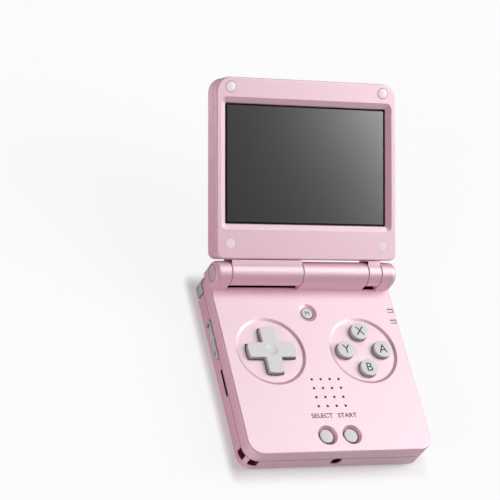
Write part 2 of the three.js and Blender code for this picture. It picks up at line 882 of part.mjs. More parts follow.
function membranes(parent) {
  const dpad_sheet = cut(
    join(
      disc(dpad_flange_radius, membrane_low, membrane_top, 0, 0, round_sides),
      ...domes(dome_radius, dpad_dome_height, fourAround(dpad_span / 3)),
    ),
    disc(pivot_radius + pivot_air, membrane_low - cut_over, membrane_top + cut_over, 0, 0, small_sides),
  );
  const face_sheet = join(
    disc(face_pitch + face_button_radius, membrane_low, membrane_top, 0, 0, round_sides),
    ...domes(dome_radius, face_dome_height, fourAround(face_pitch)),
  );
  const pair_length = 2 * (pair_x + pair_flange_radius);
  const pair_sheet = join(
    stacked(pillOutline(pair_length, 2 * pair_flange_radius), [[membrane_low, 0], [membrane_top, 0]]),
    ...domes(dome_radius, pair_dome_height, [[-pair_x, 0], [pair_x, 0]]),
  );
  piece(parent, 'dpad_membrane', dpad_sheet, finishes.rubber, -dish_x, dish_y);
  piece(parent, 'face_button_membrane', face_sheet, finishes.rubber, dish_x, dish_y);
  piece(parent, 'select_start_membrane', pair_sheet, finishes.rubber, 0, pair_y);
}

function dpad(parent) {
  const flange_high = dish_under - dpad_rock_air;
  const flange_low = flange_high - dpad_flange_thickness;
  const high = base_height + dpad_rise;
  const dimple = turned([
    [0, high - dimple_depth],
    [dimple_radius / 2, high - dimple_depth * (1 - arc_share)],
    [dimple_radius, high],
    [dimple_radius, high + cut_over],
    [0, high + cut_over],
  ], 0, 0, small_sides);
  const socket_high = flange_low + pivot_socket_depth;
  const body = cut(
    join(
      stacked(crossOutline(dpad_span, dpad_arm, dpad_bulge), roundTop(flange_low, high, dpad_edge)),
      disc(dpad_flange_radius, flange_low, flange_high, 0, 0, round_sides),
    ),
    dimple,
    disc(pivot_radius + pivot_air, flange_low - cut_over, socket_high, 0, 0, small_sides),
  );
  const pivot = turned([
    [0, membrane_low],
    [pivot_radius, membrane_low],
    [pivot_radius, socket_high - fit_gap - pivot_radius * arc_share],
    [pivot_radius * (1 - arc_share), socket_high - fit_gap],
    [0, socket_high - fit_gap],
  ], 0, 0, small_sides);
  piece(parent, 'dpad', body, finishes.grey, -dish_x, dish_y);
  piece(parent, 'dpad_pivot', pivot, finishes.black, -dish_x, dish_y);
}

// A push button: round cap on a wider flange that stops it under the shell.
function pushButton(radius, flange_radius, under, high) {
  const flange_high = under - fit_gap;
  const flange_low = flange_high - flange_thickness;
  return join(
    stacked(circleOutline(radius, button_sides), roundTop(flange_low, high, button_edge)),
    disc(flange_radius, flange_low, flange_high),
  );
}

function pushButtons(parent) {
  const face = pushButton(face_button_radius, face_flange_radius, dish_under, base_height + dpad_rise);
  face_buttons.forEach(([name, across, up]) => piece(
    parent, name, face, finishes.grey, dish_x + across * face_pitch, dish_y + up * face_pitch));
  const menu = pushButton(menu_button_radius, menu_flange_radius, menu_under, base_height - menu_sink);
  piece(parent, 'button_menu', menu, finishes.grey, 0, menu_y);
  const pair = pushButton(pair_button_radius, pair_flange_radius, pair_under, base_height - pair_sink);
  piece(parent, 'button_select', pair, finishes.grey, -pair_x, pair_y);
  piece(parent, 'button_start', pair, finishes.grey, pair_x, pair_y);
}

// A side key along +X: pill cap through the wall and a flange behind it. Its own origin is on the wall.
function sideKey(length, height, reach) {
  const flange_out = -wall - key_flange_air;
  const flange_in = flange_out - key_flange_thickness;
  const cap = stacked(pillOutline(length, height), roundTop(flange_in, reach, reach / 2), along_x);
  const flange = stacked(
    pillOutline(length + 2 * key_flange, height - key_gap), [[flange_in, 0], [flange_out, 0]], along_x);
  return join(cap, flange);
}

function sideKeys(parent) {
  const rocker_cap = sideKey(rocker_length, rocker_height, rocker_reach);
  const waist = block(
    rocker_reach - rocker_waist, rocker_reach + cut_over,
    -rocker_waist_length / 2, rocker_waist_length / 2, -rocker_height, rocker_height);
  const rocker = cut(rocker_cap, waist).rotate([0, 0, 180]);
  piece(parent, 'volume_rocker', rocker, finishes.grey, -half_width, side_key_y, side_key_z);
  const power = sideKey(power_length, power_height, rocker_reach);
  piece(parent, 'power_button', power, finishes.grey, half_width, power_y, side_key_z);
  const reset = sideKey(reset_length, reset_height, reset_reach);
  piece(parent, 'reset_button', reset, finishes.grey, half_width, reset_y, side_key_z);
}

// A small upright board with switches whose plungers point along +X to the side keys.
function switchStrip(half_length, places) {
  const flange_in = wall + key_flange_air + key_flange_thickness;
  const strip_out = board_wide_half - half_width;
  const high = board_underside - fit_gap;
  const low = high - strip_height;
  const switches = places.flatMap((y) => {
    const mid = side_key_z;
    const half = key_switch_width / 2;
    const top = Math.min(mid + key_switch_height / 2, high);
    return [
      block(strip_out - strip_thickness, strip_out + key_switch_depth, y - half, y + half, low, top),
      rod(plunger_radius, strip_out, -flange_in - plunger_air - key_flange_air * arc_share, pin_hole_sides)
        .translate([0, y, mid]),
    ];
  });
  const strip = block(strip_out - strip_thickness, strip_out, -half_length, half_length, low, high);
  return join(strip, ...switches);
}

function switchStrips(parent) {
  const rocker_places = [-rocker_length / 3, rocker_length / 3];
  const left = switchStrip(rocker_length / 2, rocker_places).rotate([0, 0, 180]);
  piece(parent, 'volume_switch_board', left, finishes.board, -half_width, side_key_y);
  const middle = (power_y + reset_y) / 2;
  const right = switchStrip(power_length, [power_y - middle, reset_y - middle]);
  piece(parent, 'side_switch_board', right, finishes.board, half_width, middle);
}

// Section of a shoulder button across its outer side: chamfered below, its top edge broken.
function shoulderSection(inner, outer) {
  const top = seam_height + shoulder_top_edge;
  return [
    [inner, shoulder_lift],
    [outer - shoulder_chamfer, shoulder_lift],
    [outer, shoulder_lift + shoulder_chamfer],
    [outer, top - shoulder_top_edge],
    [outer - shoulder_top_edge, top],
    [inner, top],
  ];
}

function shoulderBody(left, right, depth, corner_radius) {
  const back = rear + shoulder_reach;
  const low_y = rear - depth;
  const plan = roundedOutline(left, right, low_y, back, shoulder_top_edge, corner_radius);
  const body = stacked(plan, [[0, 0], [base_height, 0]]);
  const across = stacked(() => shoulderSection(low_y - cut_over, back),
    [[left - cut_over, 0], [right + cut_over, 0]], along_x);
  return body.intersect(across);
}

// Chamfer along the outer side of the button that wraps round the rear corner.
function shoulderSideCut(right) {
  const section = shoulderSection(0, right).map(([x, z]) => [z, x]).reverse();
  return stacked(() => section, [[0, 0], [rear + cut_over, 0]], along_y);
}

function shoulderTab(x, depth) {
  const high_y = rear - depth + shoulder_gap;
  const low_y = high_y - shoulder_tab_depth;
  return block(
    x - shoulder_tab_width / 2, x + shoulder_tab_width / 2, low_y, high_y + shoulder_chamfer,
    shoulder_tab_low, shoulder_tab_high);
}

function shoulderButtons(parent) {
  const outer_right = half_width + shoulder_reach / 2;
  const inner_right = inner_shoulder_x + inner_shoulder_width;
  const outer_tab_x = outer_shoulder_x + shoulder_tab_width;
  const inner_tab_x = inner_shoulder_x + inner_shoulder_width / 2;
  const outer = join(
    shoulderBody(outer_shoulder_x, outer_right, outer_shoulder_depth, shoulder_corner)
      .intersect(shoulderSideCut(outer_right)),
    shoulderTab(outer_tab_x, outer_shoulder_depth));
  const inner = join(
    shoulderBody(inner_shoulder_x, inner_right, inner_shoulder_depth, shoulder_top_edge),
    shoulderTab(inner_tab_x, inner_shoulder_depth));
  piece(parent, 'shoulder_r1', outer, finishes.grey);
  piece(parent, 'shoulder_r2', inner, finishes.grey);
  piece(parent, 'shoulder_l1', outer.mirror([1, 0, 0]), finishes.grey);
  piece(parent, 'shoulder_l2', inner.mirror([1, 0, 0]), finishes.grey);
  piece(parent, 'shoulder_board_right', shoulderBoard(outer_tab_x, inner_tab_x), finishes.board);
  piece(parent, 'shoulder_board_left', shoulderBoard(outer_tab_x, inner_tab_x).mirror([1, 0, 0]), finishes.board);
}

// An upright board under the mainboard, with one switch in front of each shoulder button's tab.
function shoulderBoard(outer_x, inner_x) {
  const travel = shoulder_travel + plunger_air;
  const outer_end = rear - outer_shoulder_depth + shoulder_gap - shoulder_tab_depth - travel;
  const inner_end = rear - inner_shoulder_depth + shoulder_gap - shoulder_tab_depth - travel;
  const plate_rear = outer_end - key_switch_depth;
  const half = key_switch_width / 2;
  const high = board_underside - fit_gap;
  const low = shoulder_tab_low + shoulder_switch_lift;
  const switchAt = (x, end) => block(
    x - half, x + half, plate_rear - strip_thickness, end, low, low + key_switch_height);
  const right = board_half_width - fit_gap;
  const plate = block(inner_x - half, right, plate_rear - strip_thickness, plate_rear, low, high);
  return join(plate, switchAt(Math.min(outer_x, right - half), outer_end), switchAt(inner_x, inner_end));
}

// Rear ports, with their own origins on the outer face of the rear wall. They reach inward along -Y.
function rearPorts(parent) {
  const end = -port_inset;
  const start = end - port_depth;
  const mouth = [[start + wall, 0], [end + cut_over, 0]];
  const usb = cut(
    stacked(usbOutline(0), [[start, 0], [end, 0]], along_y),
    stacked(usbOutline(-port_skin), mouth, along_y));
  const usb_half = usb_width / 2 - port_tongue_margin;
  const half_tongue = port_tongue_height / 2;
  const usb_tongue = block(-usb_half, usb_half, start + port_skin, end - wall, -half_tongue, half_tongue);
  piece(parent, 'usb_c_port', join(usb, usb_tongue), finishes.steel, usb_x, rear, port_z);
  const hdmi = cut(
    stacked(hdmiOutline(0), [[start, 0], [end, 0]], along_y),
    stacked(hdmiOutline(-port_skin), mouth, along_y));
  const hdmi_half = hdmi_width / 2 - port_tongue_margin;
  const hdmi_tongue = block(-hdmi_half, hdmi_half, start + port_skin, end - wall, -half_tongue, half_tongue);
  piece(parent, 'mini_hdmi_port', join(hdmi, hdmi_tongue), finishes.steel, hdmi_x, rear, port_z);
}

function audioJack(parent) {
  const start = front + wall + fit_gap;
  const collar_start = front + port_inset;
  const half = jack_width / 2;
  const body = block(jack_x - half, jack_x + half, start, start + jack_length,
    jack_z - jack_height / 2, board_underside - fit_gap);
  const collar = rodAlongY(jack_collar, collar_start, start + wall, jack_x, jack_z, button_sides);
  const bore = rodAlongY(jack_bore, collar_start - cut_over, start + jack_length - wall, jack_x, jack_z);
  piece(parent, 'audio_jack', cut(join(body, collar), bore), finishes.black);
}

function cardSockets(parent) {
  const high = board_underside - fit_gap;
  const low = high - card_socket_height;
  const half = card_socket_width / 2;
  const mouth_half = card_slot_length / 2;
  const mouth_low = card_slot_z - card_slot_height / 2 + port_inset / 2;
  const mouth_high = card_slot_z + card_slot_height / 2 - port_inset / 2;
  const body = cut(
    block(-card_socket_depth, 0, -half, half, low, high),
    block(-card_mouth_depth, cut_over, -mouth_half, mouth_half, mouth_low, mouth_high));
  const x = wall_inside - fit_gap;
  piece(parent, 'card_socket_right', body, finishes.steel, x, card_y);
  piece(parent, 'card_socket_left', body.mirror([1, 0, 0]), finishes.steel, -x, card_y);
}

function guides(parent) {
  const right = half_width - guide_edge_inset;
  const high = base_height - top_edge_round * arc_share;
  const bar = block(
    right - guide_length, right, -guide_width / 2, guide_width / 2, base_height - guide_height, high);
  const names = ['indicator_power', 'indicator_charge'];
  names.forEach((name, k) => piece(parent, name, bar, finishes.clear, 0, guide_y[k]));
}

function battery(parent) {
  const x = battery_width / 2;
  const y = battery_depth / 2;
  const pack = block(-x, x, -y, y, floor_thickness + fit_gap, board_underside - fit_gap);
  piece(parent, 'battery', pack, finishes.battery, 0, battery_y);
}

// Parts of the hinge that stay with the base.
function hingeInsides(parent) {
  const radius = hinge_bore - fit_gap;
  const module_end = base_barrel_end - fit_gap;
  const click = cut(
    rod(radius, module_end - click_module_length, module_end, small_sides),
    rod(cam_stub_radius + fit_gap, module_end - cam_stub_length - fit_gap, module_end + cut_over, small_sides));
  piece(parent, 'hinge_click_module', click, finishes.steel, 0, hinge_y, hinge_z);
  const pin_start = -half_width + end_cover_thickness + 2 * fit_gap;
  const pin = rod(radius, pin_start, pin_start + hinge_pin_length, small_sides);
  piece(parent, 'hinge_pin', pin, finishes.steel, 0, hinge_y, hinge_z);
}

// The lid's own frame: X along the hinge, Y away from it along the lid, Z out of the screen.
function hingeCamShaft(parent) {
  const radius = hinge_bore - fit_gap;
  const start = lid_knuckle_start - fit_gap / 2;
  const shaft = join(
    rod(radius, start, start + cam_shaft_length, small_sides),
    rod(cam_stub_radius, start - cam_stub_length, start + fit_gap, small_sides));
  piece(parent, 'hinge_cam_shaft', shaft, finishes.steel);
}

function displayRibbon(parent) {
  const start = -half_width + end_cover_thickness + hinge_pin_length + cut_over + fit_gap;
  const ribbon = rod(ribbon_radius, start, lid_barrel_end - fit_gap, small_sides);
  piece(parent, 'display_ribbon', ribbon, finishes.ribbon);
}

const bumper_places = [
  ['far_left', -bumper_x, bumper_far],
  ['far_right', bumper_x, bumper_far],
  ['near_left', -bumper_x, bumper_near],
  ['near_right', bumper_x, bumper_near],
];

const lidOutline = roundedOutline(
  -half_width, half_width, lid_start, lid_end, lid_near_corner, lid_far_corner);

const screenOutline = roundedOutline(
  -screen_half_width - screen_bevel_width, screen_half_width + screen_bevel_width,
  screen_near - screen_bevel_width, screen_far + screen_bevel_width, screen_corner, screen_corner);

// Levels of a barrel along X with slightly broken edges.
function barrelLevels(start, end) {
  return [[start, barrel_edge], [start + barrel_edge, 0], [end - barrel_edge, 0], [end, barrel_edge]];
}

function lidBarrel(start, end) {
  const barrel = stacked(circleOutline(hinge_radius, button_sides), barrelLevels(start, end), along_x);
  const neck_end = lid_start - fit_gap;
  const inner_end = lid_start + neck_overlap;
  return join(
    barrel,
    block(start + barrel_edge, end - barrel_edge, hinge_radius / 2, neck_end, -neck_back, neck_front),
    block(start + barrel_edge, end - barrel_edge, hinge_radius / 2, inner_end,
      -neck_back, lid_seam - seam_gap));
}

function lidBackShell() {
  const top = lid_seam - seam_gap / 2;
  const outside = stacked(lidOutline, [
    [lid_back, lid_bevel_width],
    [lid_back + lid_bevel_height, lid_ridge],
    [lid_back + lid_bevel_height + lid_ridge, 0],
    [top, 0],
  ]);
  const inside = stacked(lidOutline, [[lid_back + floor_thickness, wall], [top + cut_over, wall]]);
  const posts = bumper_places.map(([, x, v]) => disc(
    lid_post_radius, lid_back + floor_thickness / 2, top - fit_gap / 2, x, v, small_sides));
  const holes = bumper_places.map(([, x, v]) => disc(
    lid_screw_hole, lid_back + floor_thickness + fit_gap, top + cut_over, x, v, small_sides));
  const pocket = stacked(
    pillOutline(badge_length + fit_gap * 2, badge_height + fit_gap * 2),
    [[lid_back - cut_over, 0], [lid_back + badge_depth, 0]]).translate([0, badge_v, 0]);
  const barrels = join(
    lidBarrel(-end_cap_inner + fit_gap, lid_barrel_end),
    lidBarrel(lid_knuckle_start, lid_knuckle_start + lid_knuckle_length));
  const bore = rod(hinge_bore, -half_width, half_width);
  return cut(join(cut(outside, inside), barrels, ...posts), bore, pocket, ...holes);
}

function lidFrontFrame() {
  const low = lid_seam + seam_gap / 2;
  const plate = stacked(lidOutline, roundTop(low, lid_face, lid_face_round));
  const slope_end = lid_face - screen_bevel_depth;
  const ledge_high = lid_face - glass_depth - glass_thickness - fit_gap;
  const recess = stacked(screenOutline, [
    [ledge_high, screen_bevel_width],
    [slope_end, screen_bevel_width],
    [lid_face, 0],
    [lid_face + cut_over, 0],
  ]);
  const window = block(
    -screen_half_width + ledge_width, screen_half_width - ledge_width,
    screen_near + ledge_width, screen_far - ledge_width, low - cut_over, lid_face);
  const sockets = bumper_places.flatMap(([, x, v]) => [
    disc(bumper_radius + fit_gap, lid_face - bumper_depth, lid_face + cut_over, x, v),
    disc(lid_screw_head + fit_gap, lid_face - bumper_depth - lid_screw_head_height - 2 * fit_gap,
      lid_face, x, v, small_sides),
    disc(lid_screw_hole, low - cut_over, lid_face, x, v, small_sides),
  ]);
  return cut(plate, recess, window, ...sockets);
}

function lidScrews(parent) {
  const head_high = lid_face - bumper_depth - fit_gap;
  const head_low = head_high - lid_screw_head_height;
  const screw = join(
    disc(lid_screw_head, head_low, head_high, 0, 0, small_sides),
    disc(lid_screw_shank, head_high - lid_screw_length, head_high - fit_gap, 0, 0, small_sides));
  bumper_places.forEach(([place, x, v]) => piece(parent, `lid_screw_${place}`, screw, finishes.steel, x, v));
}

function bumpers(parent) {
  const low = lid_face - bumper_depth + fit_gap;
  bumper_places.forEach(([place, x, v]) => {
    const rise = v > lid_end / 2 ? bumper_rise : 0;
    const body = stacked(circleOutline(bumper_radius, button_sides), roundTop(low, lid_face + rise, bumper_dome));
    piece(parent, `bumper_${place}`, body, finishes.bumper, x, v);
  });
}

function screen(parent) {
  const glass_high = lid_face - glass_depth;
  const glass = block(
    -screen_half_width + fit_gap, screen_half_width - fit_gap,
    screen_near + fit_gap, screen_far - fit_gap, glass_high - glass_thickness, glass_high);
  piece(parent, 'screen_glass', glass, finishes.glass);
  const high = lid_seam + seam_gap / 2 - fit_gap;
  const panel = block(
    -screen_half_width - panel_margin, screen_half_width + panel_margin,
    screen_near - panel_margin, screen_far + panel_margin, high - panel_thickness, high);
  piece(parent, 'display_panel', panel, finishes.black);
}

function badge(parent) {
  const low = lid_back - badge_rise;
  const high = lid_back + badge_depth - fit_gap;
  const inner_length = badge_length - 2 * badge_band;
  const inner_height = badge_height - 2 * badge_band;
  const ring = cut(
    stacked(pillOutline(badge_length, badge_height), [[low, badge_rise / 2], [lid_back, 0], [high, 0]]),
    stacked(pillOutline(inner_length, inner_height), [[low - cut_over, 0], [high + cut_over, 0]]));
  const plate_outline = pillOutline(inner_length - 2 * fit_gap, inner_height - 2 * fit_gap);
  const plate = stacked(plate_outline, [[low + badge_plate_drop, 0], [high, 0]]);
  piece(parent, 'badge_ring', ring, finishes.chrome, 0, badge_v);
  piece(parent, 'badge_plate', plate, finishes.black, 0, badge_v);
}

const group = new THREE.Group();

const base = new THREE.Group();
group.add(base);
baseShells(base);
baseScrews(base);
piece(base, 'mainboard', mainboard(), finishes.board);
battery(base);
piece(base, 'speaker', speaker(), finishes.black, 0, speaker_y);
membranes(base);
dpad(base);
pushButtons(base);
sideKeys(base);
switchStrips(base);
shoulderButtons(base);
rearPorts(base);
audioJack(base);
cardSockets(base);
guides(base);
hingeInsides(base);

const lid = new THREE.Group();
lid.position.set(0, hinge_y, hinge_z);
lid.rotation.x = lid_open_turn;
group.add(lid);
piece(lid, 'lid_back_shell', lidBackShell(), finishes.pink);
piece(lid, 'lid_front_frame', lidFrontFrame(), finishes.pink);
lidScrews(lid);
bumpers(lid);
screen(lid);
badge(lid);
hingeCamShaft(lid);
displayRibbon(lid);

export default group;
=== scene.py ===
"""Clamshell handheld game console: fine pieces, finishes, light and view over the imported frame."""
import json
import math

import bmesh
import bpy
from mathutils import Matrix, Vector

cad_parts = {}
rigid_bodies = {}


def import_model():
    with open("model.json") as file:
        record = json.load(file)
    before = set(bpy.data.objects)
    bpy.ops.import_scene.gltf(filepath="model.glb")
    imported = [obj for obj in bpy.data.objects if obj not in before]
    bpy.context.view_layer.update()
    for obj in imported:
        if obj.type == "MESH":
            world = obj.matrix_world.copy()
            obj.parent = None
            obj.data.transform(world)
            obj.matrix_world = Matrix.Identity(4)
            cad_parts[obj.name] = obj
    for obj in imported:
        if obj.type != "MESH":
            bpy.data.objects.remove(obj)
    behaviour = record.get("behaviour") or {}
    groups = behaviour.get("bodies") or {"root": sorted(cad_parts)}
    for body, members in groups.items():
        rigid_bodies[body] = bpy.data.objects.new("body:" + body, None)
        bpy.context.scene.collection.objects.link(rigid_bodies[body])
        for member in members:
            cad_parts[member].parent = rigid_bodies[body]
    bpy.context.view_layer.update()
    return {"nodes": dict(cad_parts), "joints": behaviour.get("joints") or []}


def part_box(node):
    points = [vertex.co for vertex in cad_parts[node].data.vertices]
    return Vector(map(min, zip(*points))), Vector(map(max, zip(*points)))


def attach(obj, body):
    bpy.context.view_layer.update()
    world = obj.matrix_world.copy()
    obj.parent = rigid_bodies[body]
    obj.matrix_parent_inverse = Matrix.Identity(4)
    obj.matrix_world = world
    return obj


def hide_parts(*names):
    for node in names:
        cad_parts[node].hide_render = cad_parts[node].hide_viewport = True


bl_info = {
    "name": "Clamshell Handheld Console",
    "version": (1, 0, 0),
    "blender": (4, 5, 0),
    "location": "3D View > Sidebar > Handheld",
    "description": "Builds the fine pieces, finishes, light and view of a folding pocket console",
    "category": "Object",
}

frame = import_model()
box_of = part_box


def centre_of(node, box=box_of):
    low, high = box(node)
    return (low + high) / 2


MM = 0.001
QUARTER = math.pi / 2
OVER = 1 * MM
GAP = 0.3 * MM
SMALLEST = 0.02 * MM
SKIN = 0.02 * MM
BROKEN_EDGE = 0.15 * MM

# The base: half its width, its rear end and its lower half's height come from the frame.
HALF, REAR, SEAM_LOW = box_of("base_bottom_shell")[1]
SEAM_HIGH = SEAM_LOW + 0.2 * MM
TOP = 15 * MM
WALL = 1.8 * MM
CEILING = TOP - WALL
FRONT_CORNER = 6.5 * MM
REAR_CORNER = 5 * MM
BASE_FLOOR = 1.6 * MM
# The stepped bevel round the underside: height and inset of each corner, and their softness.
UNDERSIDE = ((0, 4 * MM), (0, 3.1 * MM), (0.9 * MM, 1.9 * MM), (1.8 * MM, 0))
UNDERSIDE_SOFT = 0.5 * MM

# The hinge: the inner ends of its housings, the barrel between them and the two stretches left for the lid.
hinge = next(joint for joint in frame["joints"] if joint["name"] == "lid_hinge")
HINGE = Vector(hinge["pos_m"])
HINGE_RADIUS = REAR - HINGE.y
HINGE_BORE = 2.9 * MM
HINGE_COVER_SEAT, HINGE_COVER_HOLE = 1.2 * MM, 3.7 * MM
HINGE_TROUGH = HINGE_RADIUS + 0.35 * MM
CAP_INNER = HALF - 7 * MM
BARREL_START, BARREL_END = -2 * MM, 28.9 * MM
LID_STRETCHES = ((-CAP_INNER, BARREL_START), (BARREL_END, CAP_INNER))
LID_TILT = math.pi - math.radians(hinge["range_deg"][1])
LID_PLACE = Matrix.Translation(HINGE) @ Matrix.Rotation(LID_TILT, 4, "X")

# The lid, in its own frame.
LID_NEAR_CORNER, LID_FAR_CORNER = 3 * MM, 6.5 * MM
LID_THICKNESS = 11 * MM
LID_SEAM = 0.2 * MM
NECK_LOW, NECK_HIGH = -4.6 * MM, 3.6 * MM
LID_SEAM_ROUND = 0.16 * MM
BUMPER_PLACES = ("far_left", "far_right", "near_left", "near_right")
BUMPER_SLACK = 0.25 * MM

# The keys, their recesses and their holes.
FACE_BUTTONS = ("button_a", "button_b", "button_x", "button_y")
SMALL_BUTTONS = ("button_select", "button_start")
DISH_X = (box_of("button_a")[0].x + box_of("button_y")[1].x) / 2
DISH_Y = (box_of("button_x")[1].y + box_of("button_b")[0].y) / 2
KEY_LIFT = 0.28 * MM
KEY_SLACK = 0.25 * MM
FACE_RADIUS, MENU_RADIUS, SMALL_RADIUS = 3.92 * MM, 2.5 * MM, 3 * MM
MENU_DEPTH, SMALL_DEPTH = 0.85 * MM, 1.9 * MM
HOLE_FOOT = 11 * MM
PAD_SPAN, PAD_ARM, PAD_BULGE = 21.8 * MM, 7 * MM, 0.5 * MM
PAD_SLACK = 0.9 * MM
KEY_FLANGE = 0.7 * MM
PAD_FLANGE, PAD_SOCKET, PAD_SOCKET_DEPTH = 10.6 * MM, 1.85 * MM, 1.3 * MM
PAD_HOLLOW = 2.72 * MM
DISH_SOFT = 0.35 * MM
# The small round recesses: radius, width of the slope, depth and softness, then the wall round each.
SMALL_BOWL = (4.4 * MM, 1 * MM, SMALL_DEPTH, 0.6 * MM)
BOWLS = {"button_menu": (4.25 * MM, 1.4 * MM, MENU_DEPTH, 0.5 * MM),
         "button_select": SMALL_BOWL, "button_start": SMALL_BOWL}
BOWL_WALL, BOWL_FOOT = 5.05 * MM, 12.1 * MM
SPEAKER_PITCH = 4.19 * MM
SPEAKER_HOLE = 0.57 * MM
KEY_LENGTHS = {"volume_rocker": 18.5 * MM, "power_button": 10.5 * MM, "reset_button": 5 * MM}
INDICATORS = ("indicator_power", "indicator_charge")
INDICATOR_CORNER = 0.25 * MM

# The shoulder keys: how deep each reaches into the base and the corner of its plan.
SHOULDER_KEYS = {"shoulder_r1": (7 * MM, 4.6 * MM), "shoulder_r2": (3.9 * MM, 0.6 * MM)}
SHOULDER_TOP = SEAM_LOW + 0.5 * MM
SHOULDER_TRAVEL = 1 * MM
SHOULDER_GAP = 0.35 * MM

# The screw wells in the underside: wide part, wall round it and bore for the screw.
SCREW_PLACES = ("rear_left", "rear_right", "front_left", "front_right")
WELL_RADIUS, WELL_WALL, WELL_BORE = 2.4 * MM, 3.5 * MM, 1.25 * MM
WELL_DEPTH, WELL_SHELF = 3.8 * MM, 3 * MM
WELL_LIP = 0.2 * MM

# The ports and the card slots.
USB = centre_of("usb_c_port")
HDMI = centre_of("mini_hdmi_port")
USB_WIDTH, USB_HEIGHT = 8.94 * MM, 3.2 * MM
HDMI_WIDTH, HDMI_HEIGHT, HDMI_SHOULDER = 11 * MM, 3.4 * MM, 1.4 * MM
JACK_X, JACK_Z = 0.1 * MM, 6.3 * MM
JACK_HOLE, JACK_COLLAR, JACK_BORE = 2.55 * MM, 2.3 * MM, 1.75 * MM
CARD_Y, CARD_Z = centre_of("card_socket_left").y, 7.35 * MM
CARD_HALF_LENGTH, CARD_HALF_HEIGHT, CARD_CORNER = 6.2 * MM, 0.75 * MM, 0.3 * MM

# The channel for a strap behind the front left corner: radii about the corner's middle, angles in degrees.
STRAP_CORNER = (-HALF + FRONT_CORNER, -REAR + FRONT_CORNER)
STRAP_INNER, STRAP_OUTER = 3.6 * MM, 4.9 * MM
STRAP_LOW, STRAP_WALL = 4.35 * MM, 5.8 * MM
STRAP_MOUTH, STRAP_POST, STRAP_MIDDLE = 39, 20, 225

# The light and the camera. The camera was fitted to the photo; its turn is in degrees.
LIGHT_TARGET = (0, 0.03, 0.02)
CAMERA_PLACE = (-0.43212, -0.40220, 0.74227)
CAMERA_TURN = (34.518, -22.0102, -13.6085)
FLOOR_HALF = 3.0
# Reach of the painted shade on the floor round the console.
SHADE_SPREAD = 8 * MM

# Directions that a body is drawn along: its outline's two axes, then its length.
ALONG_X = Matrix(((0, 0, 1, 0), (1, 0, 0, 0), (0, 1, 0, 0), (0, 0, 0, 1)))
ALONG_Y = Matrix(((0, 1, 0, 0), (0, 0, 1, 0), (1, 0, 0, 0), (0, 0, 0, 1)))
HALF_TURN = Matrix.Rotation(math.pi, 4, "Z")


# Settings

def length(name, value, description):
    return bpy.props.FloatProperty(
        name=name, description=description, default=value, min=0, precision=5,
        unit="LENGTH", subtype="DISTANCE")


def share(name, value, description):
    return bpy.props.FloatProperty(
        name=name, description=description, default=value, min=0, max=1, subtype="FACTOR")


def colour(name, value, description):
    return bpy.props.FloatVectorProperty(
        name=name, description=description, default=value, min=0, max=1, size=3, subtype="COLOR")


def power(name, value, description):
    return bpy.props.FloatProperty(
        name=name, description=description, default=value, min=0, unit="POWER")


class HandheldShell(bpy.types.PropertyGroup):
    top_round: length("Top Edge Round", 0.8 * MM, "Radius of the edge round the top face")
    seam_round: length("Seam Edge Round", 0.08 * MM, "Radius of the two edges along the seam")
    seam_gap: length("Seam Gap", 0.26 * MM, "Height of the seam between the base's two halves")
    cap_round: length("Hinge Cap Round", 2 * MM, "Radius at the outer ends of the hinge housings")
    lip: length("Hole Lip", 0.12 * MM, "Width of the broken edge round each hole")
    dish_depth: length("Dish Depth", 0.65 * MM, "Depth of the two large round recesses")
    dish_radius: length("Dish Radius", 15.83 * MM, "Radius of the two large round recesses")
    dish_slope: length("Dish Slope", 1.3 * MM, "Width of the sloped rim of the large recesses")


class HandheldControls(bpy.types.PropertyGroup):
    pad_edge: length("Pad Edge", 0.24 * MM, "Radius of the upper edges of the cross pad")
    pad_corner: length("Pad Corner", 0.9 * MM, "Radius of the outer corners of the cross pad")
    dimple: length("Dimple Depth", 0.4 * MM, "Depth of the hollow in the middle of the cross pad")
    button_edge: length("Button Edge", 0.26 * MM, "Radius of the upper edge of the round buttons")
    button_crown: length("Button Crown", 0.1 * MM, "Height of the slight dome of the round buttons")
    legend_height: length("Button Letter Height", 3.9 * MM, "Height of the letters on the face buttons")
    word_height: length("Word Height", 2.1 * MM, "Height of the words on the top face")


class HandheldLid(bpy.types.PropertyGroup):
    face_round: length("Face Edge Round", 0.6 * MM, "Radius of the edge round the lid's inner face")
    bevel_width: length("Back Bevel Width", 2.2 * MM, "Width of the bevel round the lid's back")
    bevel_height: length("Back Bevel Height", 2.1 * MM, "Height of the bevel round the lid's back")
    recess_width: length("Screen Slope Width", 2.35 * MM, "Width of the slope round the screen")
    recess_depth: length("Screen Slope Depth", 1.35 * MM, "Depth of the slope round the screen")
    mask_width: length("Screen Border", 0.65 * MM, "Width of the black border of the screen")
    badge_band: length("Badge Band", 0.9 * MM, "Width of the bright ring of the badge")


class HandheldFinish(bpy.types.PropertyGroup):
    shell: colour("Shell", (0.85, 0.455, 0.58), "Body colour of the pearl plastic")
    cover: colour("Hinge Covers", (0.68, 0.47, 0.54), "Colour of the round hinge covers")
    shell_gloss: share("Shell Roughness", 0.48, "Roughness of the pearl plastic")
    shell_pearl: share("Shell Pearl", 0.05, "How metallic the pearl plastic is")
    key: colour("Keys", (0.735, 0.741, 0.735), "Colour of the keys")
    # Painted shade: the keys in the walls wear a darker copy of the key grey, as they are less lit.
    painted_shade_side_key: colour("Side Keys", (0.46, 0.475, 0.465), "Colour of the keys in the walls")
    key_gloss: share("Key Roughness", 0.48, "Roughness of the keys")
    legend: colour("Legends", (0.03, 0.026, 0.03), "Colour of the printed letters")
    screen: colour("Screen", (0.006, 0.0062, 0.0064), "Colour of the dark display")
    screen_gloss: share("Screen Roughness", 0.17, "Roughness of the display's front")


